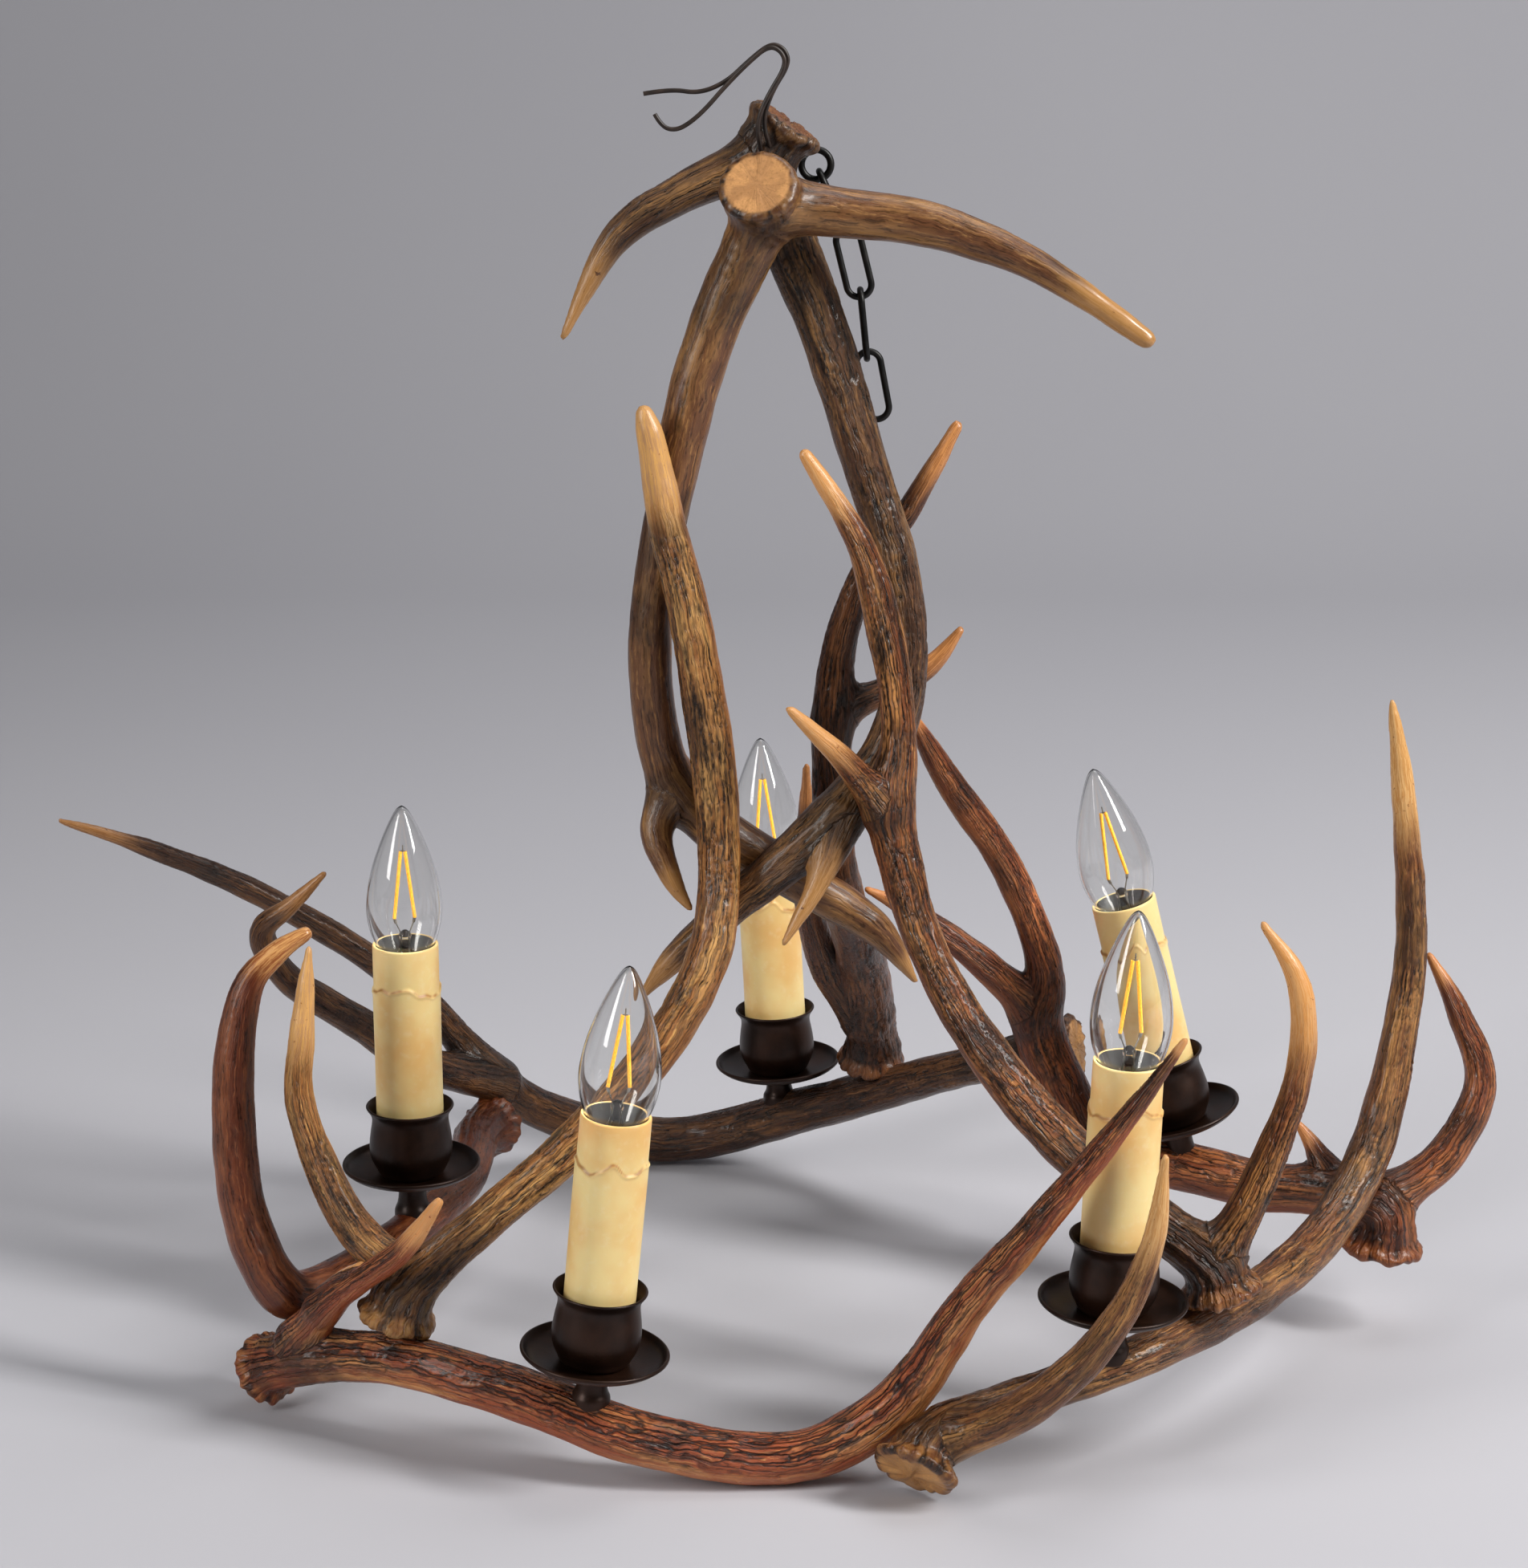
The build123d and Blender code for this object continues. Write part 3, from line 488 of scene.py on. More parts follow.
def candle_material():
    """Cream wax with a browned drip line, and painted shade inside the sleeve."""
    n = Nodes("candle_cream")
    spot = n.spot()
    line, inside = n.attribute("line"), n.attribute("inside")
    fine = n.noise(spot, 260.0, 4.0)
    colour = n.mix(n.ramp(n.noise(spot, 28.0, 3.0), 0.35, 0.7), "#f3d896", "#ebbb72")
    colour = n.mix(n.times(n.ramp(fine, 0.5, 0.8), 0.2), colour, "#fbefcb")
    browned = n.times(line, n.ramp(n.noise(spot, 120.0, 2.0), 0.34, 0.56))
    colour = n.mix(browned, colour, "#a8743c")
    # Painted shade: the bore of the sleeve is near black.
    colour = n.mix(inside, colour, "#16110d")
    normal = n.bump(fine, 0.15, 0.0004)
    return n.finish(
        Base_Color=colour, Roughness=0.42, Normal=normal, Subsurface_Weight=0.12,
        Subsurface_Scale=0.004,
    )


def simple_material(name, low, high, scale, roughness, metallic=0.0, top=None):
    """Two close tones in a cloud, with a fine relief. top is a painted shade given to what faces
    up.
    """
    n = Nodes(name)
    spot = n.spot()
    cloud = n.noise(spot, scale, 4.0)
    colour = n.mix(n.ramp(cloud, 0.35, 0.68), low, high)
    # Painted shade: what faces up takes the top tone.
    if top:
        outward = n.add("ShaderNodeNewGeometry").outputs["Normal"]
        facing = n.add("ShaderNodeSeparateXYZ", {0: outward}).outputs[2]
        colour = n.mix(n.ramp(facing, 0.75, 0.9), colour, top)
    rough = n.plus(n.times(cloud, 0.2), roughness - 0.1)
    normal = n.bump(n.noise(spot, scale * 8, 3.0), 0.1, 0.0003)
    return n.finish(Base_Color=colour, Metallic=metallic, Roughness=rough, Normal=normal)


def glass_material():
    """Thin clear glass with a faint ripple, that lets most light through to what is behind."""
    n = Nodes("bulb_glass")
    ripple = n.bump(n.noise(n.spot(), 45.0, 2.0), 0.05, 0.0006)
    n.finish(
        Base_Color="#fbfbfa", Roughness=0.015, IOR=1.45, Transmission_Weight=1.0, Normal=ripple
    )
    clear = n.add("ShaderNodeBsdfTransparent", {"Color": (0.93, 0.94, 0.94, 1)})
    shadow = n.add("ShaderNodeLightPath").outputs["Is Shadow Ray"]
    inputs = {0: shadow, 1: n.shader.outputs[0], 2: clear.outputs[0]}
    n.set(n.output.inputs["Surface"], n.add("ShaderNodeMixShader", inputs).outputs[0])
    return n.material


def filament_material():
    """Yellow phosphor with a faint glow."""
    n = Nodes("filament_yellow")
    grain = n.noise(n.spot(), 1400.0, 2.0)
    colour = n.mix(n.ramp(grain, 0.3, 0.7), "#e59a1c", "#ffc247")
    return n.finish(
        Base_Color=colour, Roughness=0.55, Emission_Color="#e8961a", Emission_Strength=0.25
    )


# ------------ antlers
START_SIDE = (0.3, 1.0, 0.2)    # no branch starts along this direction
BLOCK = 20000                   # vertices compared at once

# Relief of horn: sizes of its noises in space or along a branch, how many of their cells go round
# a branch, and how high they stand or how deep they cut.
BEND_SIZE, SWELL_SIZE, PEARL_SIZE = 26, 15, 3.1
WIDE_LENGTH, FINE_LENGTH, KNOB_LENGTH, FLUTE_LENGTH = 52, 30, 9, 90
GROOVE_TURNS, KNOB_TURNS, FLUTE_TURNS = 3.3, 4.2, 3.4
WIDE_SPREAD, FINE_SPREAD = 0.075, 0.085         # of the noise, half the width of a groove
SWELL_HEIGHT, GROOVE_DEPTH, FINE_DEPTH, PEARL_HEIGHT = 0.55, 0.75, 0.3, 0.45
SEED_STEP = 7.3                                 # between the noises of two antlers
# Where the darker tone of a foot, the pearls and the painted shade of a fork end and where they are
# full, in mm.
FOOT_FADE, RIM_FADE, FORK_FADE = (95, 12), (10, 6), (14, 2)
SAWN_DEPTH, SAWN_FACING = 1.6, -0.55            # a sawn face lies this near the foot, facing out
SAWN_FADE = (0.82, 0.76)                        # its edge, by the burr's radius


def branch_frames(rows):
    """Points, radii, distances along and turning-free frames of one branch, as arrays in mm."""
    points = np.array([row[:3] for row in rows], float)
    radii = np.array([row[3] for row in rows], float)
    steps = np.linalg.norm(np.diff(points, axis=0), axis=1)
    along = np.concatenate([[0], np.cumsum(steps)])
    tangents = np.gradient(points, axis=0)
    tangents /= np.linalg.norm(tangents, axis=1)[:, None]
    sides = []
    side = np.cross(tangents[0], START_SIDE)
    for tangent in tangents:
        side = side - tangent * np.dot(side, tangent)
        side = side / np.linalg.norm(side)
        sides.append(side)
    sides = np.array(sides)
    return points, radii, along, tangents, sides, np.cross(tangents, sides)


def tip_rows(rows):
    """The rounded end of a beam or a tine."""
    end, radius = np.array(rows[-1][:3], float), rows[-1][3]
    axis = end - np.array(rows[-2][:3], float)
    axis /= np.linalg.norm(axis)
    return rows + [(*(end + axis * radius * along), radius * across) for along, across in TIP_DOME]


def burr_rows(rows, burr):
    """The beam with a rounded coronet round its sawn foot."""
    foot = np.array(rows[0][:3], float)
    axis = np.array(rows[1][:3], float) - foot
    axis /= np.linalg.norm(axis)
    neck = rows[0][3]
    rings = [(0, 0.86 * burr), (1.0, 0.95 * burr), (2.8, burr), (4.8, 0.95 * burr),
             (6.6, (burr + 2 * neck) / 3), (8.8, neck * 1.03), (BURR_LENGTH, neck)]
    start = [(*(foot + axis * along), radius) for along, radius in rings]
    past = BURR_LENGTH + TUBE_PITCH / 2
    keep = [row for row in rows if np.dot(np.array(row[:3]) - foot, axis) > past]
    return start + keep


def tube(rows):
    """Vertices and faces of a closed round tube through the rows."""
    points, radii, _, _, sides, ups = branch_frames(rows)
    angles = np.linspace(0, 2 * math.pi, TUBE_SIDES, endpoint=False)
    ring = np.cos(angles)[None, :, None] * sides[:, None]
    ring = ring + np.sin(angles)[None, :, None] * ups[:, None]
    verts = (points[:, None] + ring * radii[:, None, None]).reshape(-1, 3)
    return verts, closed_faces(len(rows), TUBE_SIDES)


def coordinates(verts, branch):
    """Signed distance to a branch's skin, distance along it and angle round it, for each vertex."""
    points, radii, along, tangents, sides, ups = branch
    nearest = np.empty(len(verts), int)
    for start in range(0, len(verts), BLOCK):
        block = verts[start:start + BLOCK]
        gaps = (block**2).sum(1)[:, None] - 2 * block @ points.T + (points**2).sum(1)[None]
        nearest[start:start + BLOCK] = gaps.argmin(1)
    offset = verts - points[nearest]
    ahead = (offset * tangents[nearest]).sum(1)
    x = (offset * sides[nearest]).sum(1)
    y = (offset * ups[nearest]).sum(1)
    past = np.where(nearest == 0, np.maximum(-ahead, 0), 0)
    past += np.where(nearest == len(points) - 1, np.maximum(ahead, 0), 0)
    return np.hypot(x, y) - radii[nearest] + past, along[nearest] + ahead, np.arctan2(y, x)


def smoothstep(values, low, high):
    """0 at low, 1 at high, smooth between, for arrays. low may be above high."""
    t = np.clip((values - low) / (high - low), 0, 1)
    return t * t * (3 - 2 * t)


def noise_at(x, y, z):
    """Perlin noise at each point of three arrays."""
    return np.array([noise.noise((a, b, c)) for a, b, c in zip(x, y, z)])


def read_vertices(mesh):
    values = np.zeros(len(mesh.vertices) * 3, np.float32)
    mesh.vertices.foreach_get("co", values)
    return values.reshape(-1, 3).astype(float)


def write_vertices(mesh, verts):
    mesh.vertices.foreach_set("co", verts.astype(np.float32).ravel())
    mesh.update()


def read_skin(mesh):
    """A mesh's vertices in mm above the floor, and its normals there."""
    normals = np.zeros(len(mesh.vertices) * 3, np.float32)
    mesh.vertex_normals.foreach_get("vector", normals)
    return read_vertices(mesh) / MM + np.array(EYE), normals.reshape(-1, 3).astype(float)


def write_skin(mesh, verts):
    write_vertices(mesh, (verts - np.array(EYE)) * MM)


def relax(mesh, rounds):
    """Moves each vertex half way to the mean of its neighbours."""
    verts = read_vertices(mesh)
    edges = np.zeros(len(mesh.edges) * 2, np.int32)
    mesh.edges.foreach_get("vertices", edges)
    edges = edges.reshape(-1, 2)
    count = np.bincount(edges.ravel(), minlength=len(verts)).astype(float)[:, None]
    for _ in range(rounds):
        total = np.zeros_like(verts)
        for axis in range(3):
            total[:, axis] += np.bincount(edges[:, 0], verts[edges[:, 1], axis], len(verts))
            total[:, axis] += np.bincount(edges[:, 1], verts[edges[:, 0], axis], len(verts))
        verts = verts + 0.5 * (total / count - verts)
    write_vertices(mesh, verts)


def add_attributes(mesh, **shares):
    """Stores numbers or vectors, one for each vertex, for the material to read."""
    for name, values in shares.items():
        kind, field = ("FLOAT_VECTOR", "vector") if values.ndim == 2 else ("FLOAT", "value")
        attribute = mesh.attributes.new(name, kind, "POINT")
        attribute.data.foreach_set(field, values.astype(np.float32).ravel())


def horn(name, branches):
    """One closed skin round all branches of an antler, still smooth."""
    verts, faces = merged(tube(rows) for rows in branches)
    obj = mesh_object(name + "_horn", [local(v) for v in verts], faces)
    remesh = obj.modifiers.new("union", "REMESH")
    remesh.mode = "VOXEL"
    remesh.voxel_size = VOXEL * MM
    remesh.use_smooth_shade = True
    bpy.context.view_layer.update()
    graph = bpy.context.evaluated_depsgraph_get()
    made = bpy.data.meshes.new_from_object(obj.evaluated_get(graph))
    obj.modifiers.clear()
    obj.data = made
    made.name = name + "_horn"
    relax(made, rounds=3)
    return obj


def horn_relief(name, look, verts, along, angle, bark, bare, foot):
    """How far each vertex moves out, in mm, with the shares of it that the material shows."""
    seed = SEED_STEP * list(ANTLERS).index(name)
    x, y, z = verts.T
    turn_x, turn_y = np.cos(angle), np.sin(angle)
    bend = noise_at(x / BEND_SIZE + seed, y / BEND_SIZE, z / BEND_SIZE)
    lane_x, lane_y = turn_x * GROOVE_TURNS, turn_y * GROOVE_TURNS
    wide = noise_at(lane_x + seed + 0.8 * bend, lane_y, along / WIDE_LENGTH + seed)
    fine = noise_at(lane_x * 1.6 - seed, lane_y * 1.6 + 0.8 * bend, along / FINE_LENGTH)
    groove = np.exp(-(wide / WIDE_SPREAD) ** 2) + 0.7 * np.exp(-(fine / FINE_SPREAD) ** 2)
    patch = smoothstep(bend + 0.25 * wide, -0.35, 0.25)
    groove = np.clip(groove, 0, 1) * (0.2 + 0.8 * bark) * (0.4 + 0.6 * patch) * (1 - bare)
    groove = groove * look["depth"]

    near_foot = np.where(foot, smoothstep(along, *FOOT_FADE), 0)
    rim = np.where(foot, smoothstep(along, *RIM_FADE), 0)
    pearls = noise_at(x / PEARL_SIZE, y / PEARL_SIZE, z / PEARL_SIZE + seed)
    knobs = noise_at(turn_x * KNOB_TURNS, turn_y * KNOB_TURNS, along / KNOB_LENGTH + seed)
    flutes = noise_at(turn_x * FLUTE_TURNS + seed, turn_y * FLUTE_TURNS, along / FLUTE_LENGTH)
    swell = noise_at(x / SWELL_SIZE, y / SWELL_SIZE + seed, z / SWELL_SIZE)
    height = SWELL_HEIGHT * swell - GROOVE_DEPTH * groove
    height = height - FINE_DEPTH * look["depth"] * (1 - bare) * np.abs(fine) * bark
    knob = KNOB_HEIGHTS.get(name, KNOB_HEIGHT)
    furrows = PEARL_HEIGHT * np.maximum(pearls, -0.2) + 0.8 * knob * flutes
    height += near_foot * furrows * (1 - rim) + rim * knob * knobs
    dents = smoothstep(-knobs, 0.02, 0.3)
    return height, groove, near_foot, rim, dents


def antler(name):
    """An antler with its coronet, forks, grooves and polished tips, as one mesh."""
    spec, look = ANTLERS[name], dict(zip(LOOK_FIELDS, LOOKS[name]))
    beam = burr_rows(smooth(spec["beam"], TUBE_PITCH), spec["burr"])
    branches = [tip_rows(beam)] + [tip_rows(smooth(tine, TUBE_PITCH)) for tine in spec["tines"]]
    obj = horn(name, branches)
    mesh = obj.data

    # Each vertex belongs to the branch whose skin is nearest. Close to two, it lies in a fork.
    frames = [branch_frames(rows) for rows in branches]
    verts, normals = read_skin(mesh)
    parts = [coordinates(verts, branch) for branch in frames]
    gaps = np.array([part[0] for part in parts])
    owner = gaps.argmin(0)
    order = np.sort(gaps, axis=0)
    if len(parts) > 1:
        web = np.maximum(FILLET - (order[1] - order[0]), 0) / FILLET
        write_skin(mesh, verts + normals * (web**2 * FILLET / 4)[:, None])
        relax(mesh, rounds=4)
        verts, normals = read_skin(mesh)
    pick = np.arange(len(verts))
    along = np.array([part[1] for part in parts])[owner, pick]
    angle = np.array([part[2] for part in parts])[owner, pick]
    lengths = np.array([branch[2][-1] for branch in frames])[owner]
    foot = owner == 0

    pale = np.array(look["pale"], float)[owner]
    bare = smoothstep(lengths - along, pale, 0.25 * pale)
    rough_side = np.array(look["rough_side"], float) / np.linalg.norm(look["rough_side"])
    bark = smoothstep(normals @ rough_side, -0.5, 0.5) * (1 - 0.75 * bare)
    height, groove, near_foot, rim, dents = horn_relief(
        name, look, verts, along, angle, bark, bare, foot)
    verts = verts + normals * height[:, None]
    write_skin(mesh, verts)

    axis, from_foot = frames[0][3][0], verts - frames[0][0][0]
    sawn = np.where(foot & (along < SAWN_DEPTH) & (normals @ axis < SAWN_FACING), 1.0, 0.0)
    radius = np.linalg.norm(from_foot - (from_foot @ axis)[:, None] * axis, axis=1)
    sawn *= smoothstep(radius / spec["burr"], *SAWN_FADE)
    # Darker towards the foot, and painted shade where a tine meets its beam.
    shade = 0.8 * near_foot * (1 - rim)
    if len(parts) > 1:
        shade = np.maximum(shade, 0.7 * smoothstep(order[1], *FORK_FADE))
    grain = np.stack([
        np.cos(angle) * GRAIN_RADIUS, np.sin(angle) * GRAIN_RADIUS, along * MM * GRAIN_STRETCH,
    ], 1)
    grain[:, 0] += GRAIN_SHIFT * owner
    cut = np.clip(groove + 0.8 * rim * dents, 0, 1)
    add_attributes(mesh, grain=grain, groove=cut, shade=shade * (1 - bare),
                   rim=rim * (1 - dents), bark=bark, tip=bare, sawn=sawn)
    place(obj, "frame", antler_material(name, look), [name])


# ------------ lamps, mm
AXIS = 0.01                     # radius at which a turned profile starts and ends
LATHE_SIDES, FINE_SIDES, WAX_SIDES, STEM_SIDES, ROD_SIDES = 72, 96, 128, 48, 12
SEAT_PITCH = 3                  # between the spots of a beam that may carry a lamp
STEM_FOOT, STEM_WAIST, STEM_TOP, STEM_SINK = 8.5, 6.5, 9.0, 5.0
DISH_RADIUS, DISH_FLAT, DISH_DEPTH, DISH_WALL, DISH_RIM = 32.5, 16.5, 7.0, 1.2, 1.0
CUP_FOOT, CUP_BULGE, CUP_NECK, CUP_LIP = 13.2, 19.4, 17.9, 20.3
CUP_HEIGHT, CUP_WALL = 34.0, 1.0
SLEEVE_RADIUS, SLEEVE_WALL, SLEEVE_LENGTH, SLEEVE_SEAT = 15.2, 1.4, 107.5, 4.5
SLEEVE_DRIP, SLEEVE_BAND = 0.5, 20.0    # of the outer wax: thickness, and edge below the top
EDGE_BELOW, EDGE_ABOVE, EDGE_PITCH, EDGE_RINGS = 6, 8, 0.45, 31     # fine rings round that edge
SLEEVE_SEED = 1.7               # between the waves of two sleeves
HOLDER_BELOW = 12.0
FIT_GAP = 0.3
GLASS_LENGTH, GLASS_RADIUS, GLASS_NECK, GLASS_WALL = 78.0, 17.5, 9.4, 0.8
FILAMENT_LOW, FILAMENT_HIGH, FILAMENT_SPREAD = 24.0, 56.0, 4.6
STRIP_RADIUS, CLAMP_RADIUS, BRIDGE_RADIUS, WIRE_RADIUS = 0.85, 0.7, 0.35, 0.3


def lamp_matrix(carrier, spot, lean):
    """Where a lamp stands on its antler, its Z along the candle, in metres."""
    rows = smooth(ANTLERS[carrier]["beam"], SEAT_PITCH)
    row = min(rows, key=lambda r: math.dist(r[:2], spot))
    up = Vector((math.sin(math.radians(lean)), 0, math.cos(math.radians(lean))))
    top = Vector(row[:3]) + up * row[3]
    side = Vector((up.z, 0, -up.x))
    ahead = up.cross(side)
    turn = Matrix((side, ahead, up)).transposed().to_4x4()
    return Matrix.Translation(local(top)) @ turn @ Matrix.Scale(MM, 4)


def lathe(name, profile, matrix, sides=LATHE_SIDES, wobble=None):
    """A body of revolution from (radius, height) points in mm.

    wobble, given an angle, a radius and a height, may move a point.
    """
    verts, rings = [], []
    for radius, height in profile:
        if radius < 1e-6:
            rings.append([len(verts)])
            verts.append(matrix @ Vector((0, 0, height)))
            continue
        rings.append(list(range(len(verts), len(verts) + sides)))
        for step in range(sides):
            angle = 2 * math.pi * step / sides
            turn = (angle + math.pi) % (2 * math.pi) - math.pi
            r, h = wobble(turn, radius, height) if wobble else (radius, height)
            verts.append(matrix @ Vector((r * math.cos(angle), r * math.sin(angle), h)))
    return mesh_object(name, verts, ring_faces(rings), TURNED_SHARP)


def lamp_stem(name, height, matrix):
    """The turned foot between the antler and the dish, sunk a little into the antler."""
    profile = rounded([
        (AXIS, -STEM_SINK), (STEM_FOOT, -STEM_SINK), (STEM_FOOT, -STEM_SINK), (STEM_FOOT, 0),
        (STEM_WAIST + 0.6, height * 0.22), (STEM_WAIST, height * 0.5),
        (STEM_WAIST + 0.6, height * 0.78), (STEM_TOP - 0.2, height - 1.2),
        (STEM_TOP, height - 0.4), (STEM_TOP - 0.3, height), (AXIS, height),
    ])
    return lathe(name + "_lamp_stem_turned", profile, matrix)


def drip_dish(name, base, matrix):
    """A shallow dish with a rolled rim."""
    rim = DISH_RADIUS - DISH_RIM
    roll = base + DISH_DEPTH - DISH_RIM
    profile = rounded([
        (AXIS, base), (DISH_FLAT, base), (0.74 * rim, base + 0.12 * DISH_DEPTH),
        (0.92 * rim, base + 0.43 * DISH_DEPTH), (rim + 0.3, roll - 0.9), (rim + 0.9, roll - 0.1),
        (rim + 0.7, roll + 0.7), (rim - 0.1, roll + 0.9), (rim - 0.8, roll + 0.3),
        (0.905 * rim, base + 0.5 * DISH_DEPTH + 0.4),
        (0.73 * rim, base + 0.12 * DISH_DEPTH + DISH_WALL), (DISH_FLAT, base + DISH_WALL),
        (AXIS, base + DISH_WALL),
    ])
    return lathe(name + "_drip_dish_spun", profile, matrix, FINE_SIDES)


def candle_cup(name, base, matrix):
    """A bellied cup with a flared lip."""
    top = base + CUP_HEIGHT
    shape = [(CUP_FOOT, 0), (0.87 * CUP_BULGE, 0.13), (0.98 * CUP_BULGE, 0.28), (CUP_BULGE, 0.43),
             (0.97 * CUP_BULGE, 0.60), (CUP_NECK, 0.78),
             (CUP_NECK + 0.2 * (CUP_LIP - CUP_NECK), 0.88)]
    rise = [(radius, base + share * CUP_HEIGHT) for radius, share in shape]
    lip = [(CUP_LIP, top - 1.0), (CUP_LIP + 0.2, top - 0.2), (CUP_LIP - 0.4, top + 0.1),
           (CUP_LIP - 1.1, top - 0.6)]
    inner = [(radius - CUP_WALL, height) for radius, height in reversed(rise[1:])]
    profile = rounded([(AXIS, base), *rise, *lip, *inner, (AXIS, base + CUP_WALL)])
    return lathe(name + "_candle_cup_spun", profile, matrix, FINE_SIDES)


def bell(offset, width):
    return math.exp(-(offset / width) ** 2)


def candle_sleeve(name, base, matrix, seed):
    """A sleeve whose thicker layer of wax ends in a wavy edge, marked by a dark line."""
    top = base + SLEEVE_LENGTH
    bore = SLEEVE_RADIUS - SLEEVE_WALL
    band = top - SLEEVE_BAND
    waxed = SLEEVE_RADIUS - 0.3     # the skin outside this radius carries the wax

    def line_at(angle):
        hump = 5.0 * bell(angle + 1.5, 0.32) + 3.5 * bell(angle - 1.4, 0.4)
        wave = 1.3 * math.sin(2 * angle + seed) + 0.9 * math.sin(5 * angle + 2.1 * seed)
        return band - 1.5 + hump + wave + 0.4 * math.sin(13 * angle + seed)

    def wobble(angle, radius, height):
        if radius < waxed:
            return radius, height
        below = line_at(angle) - height
        thick = SLEEVE_DRIP / (1 + math.exp(-below / 0.3))
        lip = 0.45 * bell(below - 0.7, 0.8)
        soft = 0.10 * math.sin(4 * angle + seed + height / 17)
        return radius + thick + lip + soft, height

    fine = band - EDGE_BELOW
    heights = [base + 1.2 + i * (fine - base) / 14 for i in range(14)]
    heights += [fine + i * EDGE_PITCH for i in range(EDGE_RINGS)]
    heights += [band + EDGE_ABOVE + i * (top - 0.8 - band - EDGE_ABOVE) / 5 for i in range(6)]
    outside = [(SLEEVE_RADIUS, h) for h in heights]
    profile = [(bore, base), (SLEEVE_RADIUS - 0.2, base), *outside,
               (SLEEVE_RADIUS - 0.1, top - 0.3), (SLEEVE_RADIUS - 0.35, top), (bore + 0.25, top),
               (bore, top - 0.3), (bore, base)]
    obj = lathe(name + "_candle_sleeve_waxed", profile, matrix, WAX_SIDES, wobble)
    inverse = matrix.inverted()
    line, inside = [], []
    for vertex in obj.data.vertices:
        spot = inverse @ vertex.co
        radius, angle = math.hypot(spot.x, spot.y), math.atan2(spot.y, spot.x)
        below = line_at(angle) - spot.z
        line.append(bell(below, 0.7) if radius > waxed else 0.0)
        # Marks the bore of the sleeve, which gets painted shade.
        inside.append(1.0 if radius < bore + 0.2 else 0.0)
    add_attributes(obj.data, line=np.array(line), inside=np.array(inside))
    return obj


def bulb_glass(name, base, matrix):
    """A thin candle-shaped glass with a pointed top, outside and inside skin."""
    top = base + GLASS_LENGTH
    shares = [(0.60, 0.06), (0.84, 0.18), (0.96, 0.28), (1.0, 0.38), (0.95, 0.50), (0.83, 0.62),
              (0.65, 0.74), (0.43, 0.86), (0.24, 0.945), (0.11, 0.985)]
    outline = [(GLASS_NECK, 0.0), *((share * GLASS_RADIUS, rise) for share, rise in shares),
               (AXIS, 1.0)]
    outer = rounded([(radius, base + rise * GLASS_LENGTH) for radius, rise in outline], 6)
    inner = [(max(radius - GLASS_WALL, AXIS), height - GLASS_WALL * share)
             for (radius, height), share in zip(outer, np.linspace(-1, 1, len(outer)))]
    profile = [(AXIS, base + 0.2), *outer[:-1], (0.0, top), (0.0, top - GLASS_WALL),
               *reversed(inner[:-1]), (AXIS, base + GLASS_WALL + 0.4)]
    return lathe(name + "_bulb_glass_blown", profile, matrix, FINE_SIDES)


def rod(start, end, radius):
    """Vertices and faces of a short round rod in mm."""
    start, end = Vector(start), Vector(end)
    turn = (end - start).to_track_quat("Z", "Y").to_matrix()
    verts = []
    for centre in (start, end):
        for step in range(ROD_SIDES):
            angle = 2 * math.pi * step / ROD_SIDES
            edge = Vector((radius * math.cos(angle), radius * math.sin(angle), 0))
            verts.append(centre + turn @ edge)
    return verts, closed_faces(2, ROD_SIDES)


def joined(name, rods, matrix):
    verts, faces = merged(rods)
    return mesh_object(name, [matrix @ v for v in verts], faces, TURNED_SHARP)


def bulb_inside(name, base, matrix, body, materials):
    """Two filaments in an inverted V, their wires, and the glass stem with its flare."""
    low, high, wide = base + FILAMENT_LOW, base + FILAMENT_HIGH, FILAMENT_SPREAD
    strips = [rod((hand * wide, hand, low), (hand, 0, high), STRIP_RADIUS) for hand in (-1, 1)]
    yellow = joined(name + "_filament_strips", strips, matrix)
    place(yellow, body, materials["filament"], [name + "_bulb_filament"])
    wires = [rod((-1.2, 0, high), (1.2, 0, high), BRIDGE_RADIUS),
             rod((0, 0, high), (0, 0, high + 3), WIRE_RADIUS)]
    for hand in (-1, 1):
        clamp, bend, pin = hand * wide * 0.88, (hand * 1.2, 0, low - 9), (hand * 1.8, 0, base + 3)
        wires.append(rod((hand * wide, hand, low), (clamp, hand, low - 2.2), CLAMP_RADIUS))
        wires.append(rod((clamp, hand, low - 2), bend, WIRE_RADIUS))
        wires.append(rod(bend, pin, WIRE_RADIUS))
    metal = joined(name + "_filament_wires", wires, matrix)
    place(metal, body, materials["nickel"])
    profile = rounded([(7.9, base + 1.6), (5.4, base + 4.5), (3.1, base + 9), (2.6, base + 13),
                       (2.9, base + 16), (1.2, base + 18), (AXIS, base + 18.3)])
    stem = lathe(name + "_bulb_stem_press", profile, matrix, STEM_SIDES)
    place(stem, body, materials["glass"])


